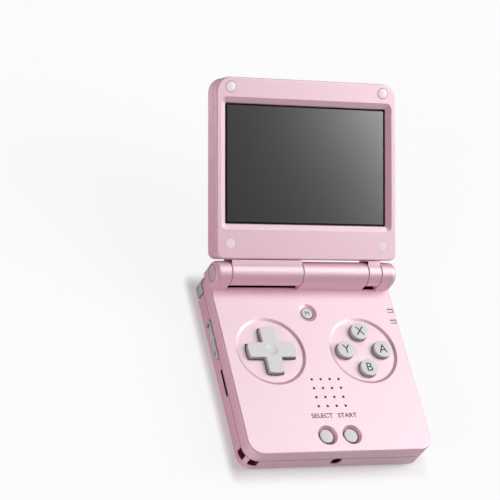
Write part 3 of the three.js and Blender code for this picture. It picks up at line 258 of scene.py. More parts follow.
class HandheldStage(bpy.types.PropertyGroup):
    key_power: power("Key Light", 8.4, "Power of the low light at the right")
    sheen_power: power("Sheen Light", 5.0, "Power of the broad light that gives the shell its sheen")
    screen_power: power("Screen Light", 1.25, "Power of the light whose reflection shows on the screen")
    upper_power: power("Upper Light", 2.7, "Power of the light whose reflection shows on the top face")
    fill_power: power("Fill Light", 6.8, "Power of the light at the left")
    sky: share("Sky", 0.1, "Strength of the even light from all round")
    floor: colour("Floor", (0.58, 0.58, 0.58), "Colour of the floor")
    floor_glow: share("Floor Glow", 0.88, "How much of the floor is seen as plain white")
    # Painted shade: how much less of the floor shows as white glow close to the console.
    floor_shade: share("Floor Shade", 0.75, "How much less of it that is close to the console")
    lens: bpy.props.FloatProperty(
        name="Lens", description="Focal length of the camera", default=161.5, min=1,
        unit="CAMERA", subtype="DISTANCE_CAMERA")


class HandheldSettings(bpy.types.PropertyGroup):
    shell: bpy.props.PointerProperty(type=HandheldShell, name="Shell", description="Sizes of the base")
    controls: bpy.props.PointerProperty(
        type=HandheldControls, name="Controls", description="Sizes of the pad, buttons and letters")
    lid: bpy.props.PointerProperty(type=HandheldLid, name="Lid", description="Sizes of the lid")
    finish: bpy.props.PointerProperty(
        type=HandheldFinish, name="Finish", description="Colours and gloss of the materials")
    stage: bpy.props.PointerProperty(
        type=HandheldStage, name="Stage", description="Floor, light and camera")


# Outlines: each gives its points for an inset

def polar(radius, angle, x=0.0, y=0.0):
    return x + radius * math.cos(angle), y + radius * math.sin(angle)


def arc(radius, start, end, steps, x=0.0, y=0.0):
    """Points of an arc between two angles in degrees."""
    return [polar(radius, math.radians(start + (end - start) * k / steps), x, y) for k in range(steps + 1)]


def fixed(points):
    """Outline that has no inset."""
    return lambda inset=0.0: points


def rounded(left, right, low, high, low_radius, high_radius=None, steps=12):
    """Rectangle with round corners."""
    high_radius = low_radius if high_radius is None else high_radius
    corners = (
        (1, -1, low_radius, -90), (1, 1, high_radius, 0), (-1, 1, high_radius, 90), (-1, -1, low_radius, 180))

    def outline(inset=0.0):
        points = []
        for across, along, radius, start in corners:
            reach = max(radius - inset, SMALLEST)
            x = right - inset - reach if across > 0 else left + inset + reach
            y = high - inset - reach if along > 0 else low + inset + reach
            points += arc(reach, start, start + 90, steps, x, y)
        return points

    return outline


def pill(span, height, steps=10):
    """Shape with two half-round ends, its length along the first axis."""
    middle = span / 2 - height / 2

    def outline(inset=0.0):
        reach = height / 2 - inset
        return arc(reach, -90, 90, steps, middle) + arc(reach, 90, 270, steps, -middle)

    return outline


def circle(radius, sides=48):
    return lambda inset=0.0: [polar(radius - inset, 2 * math.pi * k / sides) for k in range(sides)]


def softened(points, radii, steps=4, closed=False):
    """The points with each corner turned into a short curve of its own radius."""
    points = [Vector(point) for point in points]
    made = []
    last = len(points) - 1
    most = 0.48
    for k, corner in enumerate(points):
        radius = radii[k] if isinstance(radii, (list, tuple)) else radii
        if radius <= 0 or (not closed and k in (0, last)):
            made.append(corner)
            continue
        before, after = points[k - 1] - corner, points[(k + 1) % len(points)] - corner
        turn = math.pi - before.angle(after)
        reach = min(radius * math.tan(turn / 2), before.length * most, after.length * most)
        start, end = corner + before.normalized() * reach, corner + after.normalized() * reach
        for step in range(steps + 1):
            t = step / steps
            made.append(start * (1 - t) ** 2 + corner * 2 * t * (1 - t) + end * t ** 2)
    return [tuple(point) for point in made]


def cross(span, arm, bulge, convex, concave):
    """Plus sign with gently bulged arm ends and soft corners."""
    def outline(inset=0.0):
        half, tip = arm / 2 - inset, span / 2 - inset
        quarter = [
            (half, -half), (tip - bulge, -half), (tip - bulge / 4, -half / 2), (tip, 0),
            (tip - bulge / 4, half / 2), (tip - bulge, half)]
        end = max(convex - inset, SMALLEST * 4)
        points = [(a * c - b * s, a * s + b * c)
                  for c, s in ((1, 0), (0, 1), (-1, 0), (0, -1)) for a, b in quarter]
        return softened(points, [concave + inset, end, 0, 0, 0, end] * 4, closed=True)

    return outline


def pad_hole():
    return cross(PAD_SPAN + PAD_SLACK, PAD_ARM + PAD_SLACK, PAD_BULGE, 1.1 * MM, 0.4 * MM)


def base_outline():
    return rounded(-HALF, HALF, -REAR, REAR, FRONT_CORNER, REAR_CORNER)


def lid_outline():
    low, high = lid_box("lid_front_frame")
    return rounded(-HALF, HALF, low.y, high.y, LID_NEAR_CORNER, LID_FAR_CORNER)


def housing(inset=0.0):
    """Section of a hinge housing: half round above, straight down into the base."""
    reach = HINGE_RADIUS - inset
    foot = TOP - 2.5 * MM
    return [(HINGE.y + reach, foot)] + arc(reach, 0, 180, 32, HINGE.y, HINGE.z) + [(HINGE.y - reach, foot)]


def shrunk(outline, by):
    """The outline with an inset of its own."""
    return lambda inset=0.0: outline(inset + by)


def usb_outline(inset=0.0):
    return [(-b, a) for a, b in pill(USB_WIDTH, USB_HEIGHT)(inset)]


def hdmi_outline(inset=0.0):
    """Section of the mini HDMI port, with its two lower corners cut off."""
    half, tall = HDMI_WIDTH / 2 - inset, HDMI_HEIGHT / 2 - inset
    points = [(-tall + HDMI_SHOULDER, -half), (tall, -half), (tall, half), (-tall + HDMI_SHOULDER, half),
              (-tall, half - HDMI_SHOULDER), (-tall, -half + HDMI_SHOULDER)]
    return softened(points, 0.25 * MM, steps=2, closed=True)


PORTS = (("usb_c_port", usb_outline, USB_WIDTH, USB), ("mini_hdmi_port", hdmi_outline, HDMI_WIDTH, HDMI))


def card_slot_shade(inset=0.0):
    """Section of a card slot; its corners shrink half as fast as its sides."""
    length, height = CARD_HALF_LENGTH - inset, CARD_HALF_HEIGHT - inset
    return rounded(-length, length, -height, height, CARD_CORNER - inset / 2, steps=3)


# Levels: heights of a body with the inset of its outline at each

def round_over(high, radius, steps=6, width=None):
    """Levels of a rounded upper edge, oval where its width differs from its radius."""
    return [(high - radius + radius * math.sin(QUARTER * k / steps),
             (width or radius) * (1 - math.cos(QUARTER * k / steps))) for k in range(steps + 1)]


def round_under(low, radius, steps=3):
    """Levels of a rounded lower edge."""
    return [(low + radius - radius * math.cos(QUARTER * k / steps),
             radius * (1 - math.sin(QUARTER * k / steps))) for k in range(steps + 1)]


def flared(low, high, lip):
    """Levels of a cutter that opens out by its lip at a face."""
    return [(low, 0), (high - lip, 0), (high - lip * 0.3, -lip * 0.3), (high, -lip),
            (high + OVER, -lip - OVER * 0.2)]


def broken(low, high):
    """Levels of a straight body with both ends' edges broken."""
    return [(low, BROKEN_EDGE), (low + BROKEN_EDGE, 0), (high - BROKEN_EDGE, 0), (high, BROKEN_EDGE)]


def rim(radius, levels):
    """The levels as part of a turned body's profile."""
    return [(radius - inset, height) for height, inset in levels]


# Bodies

def mesh_from(corners, faces, place=None):
    mesh = bpy.data.meshes.new("shape")
    mesh.from_pydata(corners, [], faces)
    if place is not None:
        mesh.transform(place)
        if place.determinant() < 0:
            mesh.flip_normals()
    mesh.update()
    return mesh


def stack(outline, levels, place=None):
    """Closed body through one outline at several (height, inset) levels, lowest first."""
    rings = [[(a, b, height) for a, b in outline(inset)] for height, inset in levels]
    count = len(rings[0])
    last = (len(rings) - 1) * count
    faces = [tuple(reversed(range(count))), tuple(range(last, last + count))]
    for level in range(len(rings) - 1):
        for k in range(count):
            a, b = level * count + k, level * count + (k + 1) % count
            faces.append((a, b, b + count, a + count))
    return mesh_from([point for ring in rings for point in ring], faces, place)


def turned(profile, place=None, sides=64):
    """Closed turned body about the third axis; the (radius, height) profile starts and ends on it."""
    turn = 2 * math.pi / sides
    corners = [(0, 0, profile[0][1])]
    for radius, height in profile[1:-1]:
        corners += [(radius * math.cos(k * turn), radius * math.sin(k * turn), height) for k in range(sides)]
    corners.append((0, 0, profile[-1][1]))
    top = len(corners) - 1
    faces = []
    for k in range(sides):
        after = (k + 1) % sides
        faces.append((0, 1 + after, 1 + k))
        for ring in range(len(profile) - 3):
            a, b = 1 + ring * sides + k, 1 + ring * sides + after
            faces.append((a, b, b + sides, a + sides))
        base = 1 + (len(profile) - 3) * sides
        faces.append((base + k, base + after, top))
    return mesh_from(corners, faces, place)


def block(left, right, front, rear, low, high, place=None):
    corners = [(x, y, z) for z in (low, high) for y in (front, rear) for x in (left, right)]
    faces = [(0, 2, 3, 1), (4, 5, 7, 6), (0, 1, 5, 4), (2, 6, 7, 3), (0, 4, 6, 2), (1, 3, 7, 5)]
    return mesh_from(corners, faces, place)


def at(x, y=0.0, z=0.0):
    return Matrix.Translation((x, y, z))


def moved(mesh, x=0.0, y=0.0, z=0.0):
    mesh.transform(at(x, y, z))
    return mesh


def mirrored(mesh):
    """A copy of the mesh on the other side of the middle plane."""
    other = mesh.copy()
    other.transform(Matrix.Scale(-1, 4, (1, 0, 0)))
    other.flip_normals()
    return other


def prism(outline, low, high, place=None):
    """Closed body with straight sides."""
    return stack(outline, [(low, 0), (high, 0)], place)


def disc(radius, low, high, sides=48):
    return prism(circle(radius, sides), low, high)


def rod(radius, start, end):
    return prism(circle(radius, 64), start, end, ALONG_X)


def on_hinge(mesh):
    return moved(mesh, 0, HINGE.y, HINGE.z)


def depth_of(node):
    """How far the inner and the outer face of a node in a side wall are from the middle plane."""
    low, high = box_of(node)
    return sorted((abs(low.x), abs(high.x)))


def in_wall(mesh, node):
    """A body drawn for the right wall, put on the side and at the height of a node."""
    spot = centre_of(node)
    return moved(mesh if spot.x > 0 else mirrored(mesh), 0, spot.y, spot.z)


def combined(operation, first, tools):
    """The first mesh joined with, cut by or kept within each of the tools."""
    scene = bpy.context.scene
    work = bpy.data.objects.new("work", first)
    scene.collection.objects.link(work)
    used = [work]
    for tool in tools:
        helper = bpy.data.objects.new("tool", tool)
        scene.collection.objects.link(helper)
        used.append(helper)
        step = work.modifiers.new("combine", "BOOLEAN")
        step.operation, step.solver, step.object = operation, "MANIFOLD", helper
    graph = bpy.context.evaluated_depsgraph_get()
    made = bpy.data.meshes.new_from_object(work.evaluated_get(graph))
    for helper in used:
        mesh = helper.data
        bpy.data.objects.remove(helper)
        if mesh.users == 0:
            bpy.data.meshes.remove(mesh)
    if not made.polygons:
        raise RuntimeError(f"nothing was left of a body: {operation} with {len(tools)} tools")
    return made


def join(first, *tools):
    return combined("UNION", first, tools)


def cut(first, *tools):
    return combined("DIFFERENCE", first, tools)


def kept_within(first, *tools):
    return combined("INTERSECT", first, tools)


def gathered(*meshes):
    """Separate bodies that don't touch, as one mesh."""
    shape = bmesh.new()
    for mesh in meshes:
        shape.from_mesh(mesh)
        bpy.data.meshes.remove(mesh)
    made = bpy.data.meshes.new("shape")
    shape.to_mesh(made)
    shape.free()
    return made


def piece(name, mesh, body, finish, nodes=(), place=None, sharp=38.0, weigh=True):
    """A finished object from a mesh: smooth, riding on a body and standing for its CAD nodes."""
    mesh.name = name
    shape = bmesh.new()
    shape.from_mesh(mesh)
    bmesh.ops.remove_doubles(shape, verts=shape.verts, dist=0.002 * MM)
    bmesh.ops.dissolve_degenerate(shape, edges=shape.edges, dist=0.002 * MM)
    shape.to_mesh(mesh)
    shape.free()
    mesh.shade_smooth()
    mesh.set_sharp_from_angle(angle=math.radians(sharp))
    mesh.materials.clear()
    mesh.materials.append(material(finish))
    made = bpy.data.objects.new(name, mesh)
    bpy.context.scene.collection.objects.link(made)
    if place is not None:
        made.matrix_world = place
    if weigh:
        normals = made.modifiers.new("Even flats", "WEIGHTED_NORMAL")
        normals.keep_sharp = True
        normals.weight = 80
    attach(made, body)
    if nodes:
        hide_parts(*nodes)
    return made


def lid_piece(name, mesh, finish, nodes=(), place=LID_PLACE, **how):
    return piece(name, mesh, "lid", finish, nodes, place, **how)


# Materials

class Value:
    """A number that varies over a surface; sums and products of it add Math nodes."""

    def __init__(self, tree, socket):
        self.tree = tree
        self.socket = socket

    def math(self, operation, *operands):
        node = self.tree.nodes.new("ShaderNodeMath")
        node.operation = operation
        for socket, operand in zip(node.inputs, operands):
            if isinstance(operand, Value):
                self.tree.links.new(operand.socket, socket)
            else:
                socket.default_value = operand
        return Value(self.tree, node.outputs[0])

    def __add__(self, other):
        return self.math("ADD", self, other)

    def __radd__(self, other):
        return self.math("ADD", other, self)

    def __sub__(self, other):
        return self.math("SUBTRACT", self, other)

    def __rsub__(self, other):
        return self.math("SUBTRACT", other, self)

    def __mul__(self, other):
        return self.math("MULTIPLY", self, other)

    def __rmul__(self, other):
        return self.math("MULTIPLY", other, self)

    def __truediv__(self, other):
        return self.math("DIVIDE", self, other)

    def __gt__(self, other):
        return self.math("GREATER_THAN", self, other)

    def __lt__(self, other):
        return self.math("LESS_THAN", self, other)

    def __abs__(self):
        return self.math("ABSOLUTE", self)

    def most(self, other):
        """The greater of two numbers."""
        return self.math("MAXIMUM", self, other)


class Finish:
    """A material under construction, or a world where one is handed over."""

    def __init__(self, name, world=None):
        self.material = world or bpy.data.materials.new(name)
        self.material.use_nodes = True
        self.tree = self.material.node_tree
        self.tree.nodes.clear()

    def node(self, kind, settings=None, inputs=None):
        """A node of a type, with its settings made before its sockets get values or links."""
        node = self.tree.nodes.new(kind)
        for name, value in (settings or {}).items():
            setattr(node, name, value)
        for name, value in (inputs or {}).items():
            if isinstance(value, Value):
                self.tree.links.new(value.socket, node.inputs[name])
            else:
                node.inputs[name].default_value = value
        return node

    def value(self, node, output=0):
        return Value(self.tree, node.outputs[output])

    def place(self):
        """Where a point is on its own object."""
        return self.value(self.node("ShaderNodeTexCoord"), "Object")

    def axes(self):
        """The three numbers of that place."""
        parts = self.node("ShaderNodeSeparateXYZ", inputs={"Vector": self.place()})
        return [self.value(parts, axis) for axis in ("X", "Y", "Z")]

    def upward(self):
        """How far the surface looks up on its own object: 1 on a top face, 0 on a wall."""
        facing = self.value(self.node("ShaderNodeTexCoord"), "Normal")
        return self.value(self.node("ShaderNodeSeparateXYZ", inputs={"Vector": facing}), "Z")

    def noise(self, size, detail=2.0, roughness=0.5, place=None):
        """Cloudy noise whose patches are about one size across."""
        return self.value(self.node("ShaderNodeTexNoise", inputs={
            "Vector": place or self.place(), "Scale": 1 / size, "Detail": detail, "Roughness": roughness}))

    def cells(self, size):
        """A random number for each small cell."""
        node = self.node("ShaderNodeTexVoronoi", inputs={"Vector": self.place(), "Scale": 1 / size})
        parts = self.node("ShaderNodeSeparateColor", inputs={"Color": self.value(node, "Color")})
        return self.value(parts, "Red")

    def grey(self, colour):
        """How bright a colour is."""
        return self.value(self.node("ShaderNodeRGBToBW", inputs={"Color": colour}))

    def blend(self, factor, first, second):
        """A colour between two colours."""
        first, second = (shade if isinstance(shade, Value) else (*shade, 1) for shade in (first, second))
        node = self.node("ShaderNodeMix", {"data_type": "RGBA"}, {0: factor, 6: first, 7: second})
        return self.value(node, 2)

    def bump(self, height, strength, depth):
        return self.value(self.node("ShaderNodeBump", inputs={
            "Height": height, "Strength": strength, "Distance": depth}))

    def mixed(self, factor, first, second):
        """A shader between two shaders."""
        node = self.node("ShaderNodeMixShader", inputs={
            "Fac": factor, 1: self.value(first), 2: self.value(second)})
        return self.value(node)

    def plastic(self, **sockets):
        """The main shader, its sockets named with spaces as underscores, and the finished material."""
        inputs = {}
        for name, value in sockets.items():
            inputs[name.replace("_", " ")] = value
        shader = self.node("ShaderNodeBsdfPrincipled", inputs=inputs)
        return self.finished(self.value(shader))

    def finished(self, surface):
        self.node("ShaderNodeOutputMaterial", inputs={"Surface": surface})
        return self.material


def toned(shade, *factors):
    """A colour made lighter or darker: one colour for a single factor, else one for each."""
    tones = [tuple(min(1.0, channel * factor) for channel in shade) for factor in factors]
    return tones[0] if len(tones) == 1 else tones


def pearl_plastic(name, shade, look):
    made = Finish(name)
    clouds = made.noise(9 * MM, 3)
    mica = made.cells(0.22 * MM) > 0.9
    grain = made.noise(0.35 * MM, 2)
    base = made.blend(clouds, *toned(shade, 0.965, 1.03))
    return made.plastic(
        Base_Color=made.blend(mica * 0.35, base, toned(shade, 1.22)),
        Metallic=look.shell_pearl,
        Roughness=look.shell_gloss - 0.05 + 0.09 * grain,
        Specular_IOR_Level=1.0,
        IOR=2.8,
        Coat_Weight=0.45,
        Coat_Roughness=0.2,
        Normal=made.bump(grain + mica * 0.15, 0.12, 0.02 * MM),
    )


def key_plastic(name, shade, look, painted_wall_shade):
    """Matt key plastic whose upright walls get painted shade, as they stand in the shade of their holes; the
    last argument sets how dark.
    """
    made = Finish(name)
    grain = made.noise(0.28 * MM, 3, 0.6)
    clouds = made.noise(2.2 * MM, 2)
    base = made.blend(clouds * 0.6 + grain * 0.4, *toned(shade, 0.95, 1.05))
    return made.plastic(
        # Painted shade: the walls are darker than the top face, set by which way the surface faces.
        Base_Color=made.blend((1 - made.upward() * 1.8).most(0.0), base, toned(shade, painted_wall_shade)),
        Roughness=look.key_gloss - 0.06 + 0.14 * grain,
        Coat_Weight=0.5,
        Coat_Roughness=0.18,
        Normal=made.bump(grain, 0.16, 0.02 * MM),
    )


def display_front(look, mask_width):
    """Dark display behind a black border, with the fine lines of its picture elements."""
    made = Finish("display_front")
    across, along, _ = made.axes()
    low, high = lid_box("screen_glass")
    middle, half = (low + high) / 2, (high - low) / 2
    inside = (abs(across) < half.x - mask_width) * (abs(along - middle.y) < half.y - mask_width)
    lines = made.value(made.node("ShaderNodeTexWave", {"wave_type": "BANDS", "bands_direction": "X"}, {
        "Vector": made.place(), "Scale": 1 / (0.6 * MM)}))
    screen = made.blend(made.noise(40 * MM, 1), *toned(look.screen, 0.85, 1.15))
    screen = made.blend(0.12 * made.grey(lines), screen, toned(look.screen, 0.7))
    border_gloss = 0.06
    return made.plastic(
        Base_Color=made.blend(inside, (0.004, 0.004, 0.0045), screen),
        Roughness=border_gloss + (look.screen_gloss - border_gloss) * inside,
        IOR=2.1,
        Specular_IOR_Level=1.0,
    )


def metal(name, shade, roughness, depth=0.01 * MM):
    made = Finish(name)
    streaks = 1.5 * MM
    stretched = made.value(made.node("ShaderNodeMapping", {"vector_type": "POINT"}, {
        "Vector": made.place(), "Scale": (0.08, 1, 1)}))
    lines = made.noise(0.1 * streaks, place=stretched)
    return made.plastic(
        Base_Color=made.blend(made.noise(streaks, 2), *toned(shade, 0.88, 1)),
        Metallic=1.0,
        Roughness=roughness * 0.8 + roughness * 0.4 * lines,
        Normal=made.bump(lines, 0.15, depth),
    )


def circuit_board():
    made = Finish("circuit_board")
    weave = made.noise(0.5 * MM, 3)
    tracks = made.value(made.node("ShaderNodeTexBrick", {"offset": 0.5}, {
        "Vector": made.place(), "Scale": 1 / (4 * MM), "Mortar Size": 0.03,
        "Color1": (0, 0, 0, 1), "Color2": (0, 0, 0, 1), "Mortar": (1, 1, 1, 1)}))
    line = made.grey(tracks)
    base = made.blend(weave, (0.012, 0.09, 0.04), (0.02, 0.13, 0.06))
    return made.plastic(
        Base_Color=made.blend(line * 0.7, base, (0.03, 0.2, 0.09)),
        Roughness=0.35 + 0.15 * weave,
        Coat_Weight=0.3,
        Normal=made.bump(line + weave * 0.2, 0.3, 0.03 * MM),
    )


def grained(name, shades, grain, roughness, bump=None, **sockets):
    """Plain plastic. Given are its two shades, its grain's size and detail, its roughness and how far
    the grain changes that, and the strength and depth of the grain's bumps."""
    made = Finish(name)
    spread = made.noise(*grain)
    if bump:
        sockets["Normal"] = made.bump(spread, *bump)
    return made.plastic(
        Base_Color=made.blend(spread, *shades), Roughness=roughness[0] + roughness[1] * spread, **sockets)


def ink(name, shades):
    return grained(name, shades, (0.15 * MM, 3), (0.5, 0.15))


def soft_bumper(name, look, paleness):
    pale = tuple(channel * (1 - paleness) + paleness for channel in look.shell)
    return grained(name, toned(pale, 0.96, 1), (0.4 * MM, 2), (0.2, 0.12), (0.08, 0.02 * MM),
                   Coat_Weight=0.6, Coat_Roughness=0.1)


def dark_plastic(name, shade, roughness, coat, specular=0.5):
    return grained(name, toned(shade, 0.8, 1.3), (0.2 * MM, 3), (roughness * 0.85, roughness * 0.3),
                   (0.1, 0.02 * MM), Specular_IOR_Level=specular, Coat_Weight=coat, Coat_Roughness=0.1)


def soft_sheet(name, shade, roughness, coat=0.0):
    return grained(name, toned(shade, 0.92, 1.04), (0.6 * MM, 3), (roughness - 0.08, 0.16),
                   (0.15, 0.04 * MM), Coat_Weight=coat)


# Finishes: each one's slot, where a piece of this script wears it, and its maker from the settings.
FINISHES = {
    "shell": ("pink_shell", lambda s: pearl_plastic("pearl_plastic", s.finish.shell, s.finish)),
    "cover": ("pink_shell", lambda s: pearl_plastic("pearl_cover", s.finish.cover, s.finish)),
    # Dark pink for the skin in the strap channel and the rings round the hinge covers and raised bumpers:
    # painted shade.
    "painted_shade_pink": ("pink_shell", lambda s: dark_plastic("painted_shade_pink", (0.1, 0.025, 0.045), 0.6, 0.0, 0.3)),
    # The keys' upright walls carry painted shade: 0.55 on the top keys, none on the keys in the walls.
    "key": ("grey_key", lambda s: key_plastic("key_plastic", s.finish.key, s.finish, 0.55)),
    # The keys in the walls: a darker copy of the key grey, painted shade.
    "painted_shade_side_key": ("grey_key", lambda s: key_plastic("painted_shade_key_plastic", s.finish.painted_shade_side_key, s.finish, 1.0)),
    "ink": ("black_plastic", lambda s: ink("printed_ink", toned(s.finish.legend, 0.8, 1.5))),
    # Grey bars behind the indicator windows: painted shade of the gap.
    "painted_gap_shade": ("black_plastic", lambda s: ink("painted_gap_shade", ((0.2, 0.18, 0.19), (0.26, 0.24, 0.25)))),
    "black": ("black_plastic", lambda s: dark_plastic("dark_plastic", (0.012, 0.012, 0.013), 0.35, 0.2)),
    # Black for the speaker cloth and the screen border, and for the strips, tubes, sleeves, washers and
    # plates of painted shade in the seam, holes, slots and hinge.
    "soft_black": (
        "black_plastic", lambda s: dark_plastic("black_and_painted_shade", (0.003, 0.0025, 0.003), 0.85, 0.0, 0.15)),
    "badge": ("black_plastic", lambda s: dark_plastic("black_enamel", (0.006, 0.006, 0.007), 0.12, 0.8)),
    "screen": ("screen", lambda s: display_front(s.finish, s.lid.mask_width)),
    "bumper": ("bumper", lambda s: soft_bumper("soft_bumper", s.finish, 0.72)),
    "near_bumper": ("bumper", lambda s: soft_bumper("flush_bumper", s.finish, 0.6)),
    "window": ("clear_guide", lambda s: grained(
        "clear_window", ((0.82, 0.79, 0.8), (0.92, 0.9, 0.91)), (0.2 * MM, 2), (0.22, 0.15),
        Coat_Weight=0.5, Coat_Roughness=0.08)),
    "steel": ("steel", lambda s: metal("turned_steel", (0.52, 0.53, 0.55), 0.34)),
    "chrome": ("chrome", lambda s: metal("bright_chrome", (0.82, 0.83, 0.85), 0.1, 0.003 * MM)),
    "board": (None, lambda s: circuit_board()),
    "rubber": (None, lambda s: soft_sheet("grey_rubber", (0.62, 0.58, 0.57), 0.8)),
    "battery": (None, lambda s: soft_sheet("battery_wrap", (0.11, 0.13, 0.16), 0.5, 0.2)),
    "ribbon": (None, lambda s: soft_sheet("amber_film", (0.42, 0.18, 0.03), 0.45, 0.3)),
}
made_materials = {}


def material(name):
    """The finish of that name, made once from the scene's settings."""
    if name not in made_materials:
        made_materials[name] = FINISHES[name][1](bpy.context.scene.handheld)
    return made_materials[name]


def lid_box(node):
    """Lowest and highest corner of a node in the lid's own frame."""
    back = LID_PLACE.inverted()
    points = [back @ vertex.co for vertex in frame["nodes"][node].data.vertices]
    return tuple(Vector([pick(point[axis] for point in points) for axis in range(3)]) for pick in (min, max))


# Shared forms of the base and the lid

def bowl(radius, slope, depth, soft, spot):
    """Cutter of a round recess with a sloped rim and a rounded lip."""
    wide = radius + 0.6 * MM
    profile = softened(
        [(0, TOP - depth), (radius - slope, TOP - depth), (radius, TOP), (wide, TOP + 0.03 * MM)],
        [0, soft, soft * 0.6, 0])
    return turned(profile + [(wide, TOP + OVER), (0, TOP + OVER)], at(spot.x, spot.y), sides=96)


def side_opening(node, lip, inward):
    """Opening through a side wall round a key."""
    low, high = box_of(node)
    outline = pill(KEY_LENGTHS[node] + 2 * KEY_SLACK, high.z - low.z + 2 * KEY_SLACK)
    return in_wall(stack(outline, flared(HALF - inward, HALF, lip), ALONG_X), node)


def wall_openings(lip):
    """Openings in the walls that both halves of the base share."""
    inward = WALL + OVER
    slot = moved(stack(card_slot_shade(), flared(HALF - inward, HALF, lip), ALONG_X), 0, CARD_Y, CARD_Z)
    tools = [mirrored(slot), slot]
    tools += [side_opening(node, lip, inward) for node in KEY_LENGTHS]
    depth = flared(REAR - inward, REAR, lip)
    for _, outline, _, spot in PORTS:
        tools.append(moved(stack(shrunk(outline, -GAP), depth, ALONG_Y), spot.x, 0, spot.z))
    hole = stack(circle(JACK_HOLE), depth, HALF_TURN @ ALONG_Y)
    return tools + [moved(hole, JACK_X, 0, JACK_Z)]


def hinge_grooves():
    """Left, right, front and floor of the grooves in the top face under the lid's barrels."""
    spare = 0.1 * MM
    return [(start + spare, end - spare, front, TOP - 1.15 * MM)
            for (start, end), front in zip(LID_STRETCHES, (34.35 * MM, 33.7 * MM))]


def shoulder_notches():
    """Openings for the shoulder keys; the outer two run out through the side walls."""
    tools = []
    for node, (depth, _) in SHOULDER_KEYS.items():
        low, high = box_of(node)
        right = HALF + OVER if node == "shoulder_r1" else high.x + SHOULDER_GAP
        front = REAR - depth - SHOULDER_TRAVEL - SHOULDER_GAP
        tool = block(low.x - SHOULDER_GAP, right, front, REAR + OVER, -OVER, SHOULDER_TOP + SHOULDER_GAP)
        tools += [tool, mirrored(tool)]
    return tools


def key_holes(shell):
    """Node, outline, middle, foot and top of the hole round each key of the top face."""
    low, floor = CEILING - OVER, TOP - shell.dish_depth
    holes = [("dpad", pad_hole(), low, floor)]
    holes += [(node, circle(FACE_RADIUS + KEY_SLACK), low, floor) for node in FACE_BUTTONS]
    holes.append(("button_menu", circle(MENU_RADIUS + KEY_SLACK), HOLE_FOOT, TOP - MENU_DEPTH))
    small = circle(SMALL_RADIUS + KEY_SLACK)
    holes += [(node, small, HOLE_FOOT, TOP - SMALL_DEPTH) for node in SMALL_BUTTONS]
    return [(node, outline, centre_of(node), foot, top) for node, outline, foot, top in holes]


def speaker_grid(radius, levels):
    """Small posts in a square grid over the speaker."""
    middle = centre_of("speaker").y
    steps = [(k - 1.5) * SPEAKER_PITCH for k in range(4)]
    return gathered(*(moved(stack(circle(radius, 20), levels), x, middle + y) for y in steps for x in steps))


def indicator_outline(node):
    low, high = box_of(node)
    return rounded(low.x, high.x, low.y, high.y, INDICATOR_CORNER, steps=4)


def bumper(place):
    """Node, middle and radius of a bumper, and whether it is one of the two raised ones."""
    node = f"bumper_{place}"
    low, high = lid_box(node)
    return node, (low + high) / 2, (high.x - low.x) / 2 - BUMPER_SLACK, "far" in place


# Operators

class HANDHELD_OT_base_top(bpy.types.Operator):
    """Upper half of the base with its recesses, grid of holes and hinge housings"""
    bl_idname = "handheld.base_top"
    bl_label = "Base Top"

    def execute(self, context):
        size = context.scene.handheld.shell
        outline = base_outline()
        body = stack(outline, round_under(SEAM_LOW + size.seam_gap, size.seam_round)
                     + round_over(TOP, size.top_round))
        cavity = stack(outline, [(SEAM_HIGH - OVER, WALL), (CEILING, WALL)])
        cap = stack(housing, [(CAP_INNER, BROKEN_EDGE), (CAP_INNER + BROKEN_EDGE, 0)]
                    + round_over(HALF, size.cap_round, 10, 1.3 * MM), ALONG_X)
        barrel = stack(housing, broken(BARREL_START, BARREL_END), ALONG_X)
        thick = [moved(disc(BOWL_WALL, BOWL_FOOT, CEILING + WALL / 2), spot.x, spot.y)
                 for spot in map(centre_of, BOWLS)]
        body = join(cut(body, cavity), mirrored(cap), cap, barrel, *thick)
        inner = HALF - HINGE_COVER_SEAT
        seat = on_hinge(stack(circle(HINGE_COVER_HOLE), flared(inner, HALF, 0.1 * MM), ALONG_X))
        tools = [on_hinge(rod(HINGE_BORE, -inner, inner)), seat, mirrored(seat)]
        tools += [on_hinge(rod(HINGE_TROUGH, *stretch)) for stretch in LID_STRETCHES]
        tools += [block(left, right, front, HINGE.y, low, HINGE.z)
                  for left, right, front, low in hinge_grooves()]
        tools += [bowl(size.dish_radius, size.dish_slope, size.dish_depth, DISH_SOFT, Vector((x, DISH_Y)))
                  for x in (-DISH_X, DISH_X)]
        body = cut(body, *tools)
        tools = [bowl(*shape, centre_of(node)) for node, shape in BOWLS.items()]
        tools += [moved(stack(hole, flared(low, high, 0.02 * MM)), spot.x, spot.y)
                  for _, hole, spot, low, high in key_holes(size)]
        tools.append(speaker_grid(SPEAKER_HOLE, flared(CEILING - OVER, TOP, 0.03 * MM)))
        wider = -0.12 * MM
        tools += [stack(indicator_outline(node), [(box_of(node)[0].z - GAP, wider), (TOP + OVER, wider)])
                  for node in INDICATORS]
        body = cut(body, *tools, *wall_openings(size.lip), *shoulder_notches())
        piece("base_top", body, "base", "shell", ["base_top_shell"])
        return {"FINISHED"}


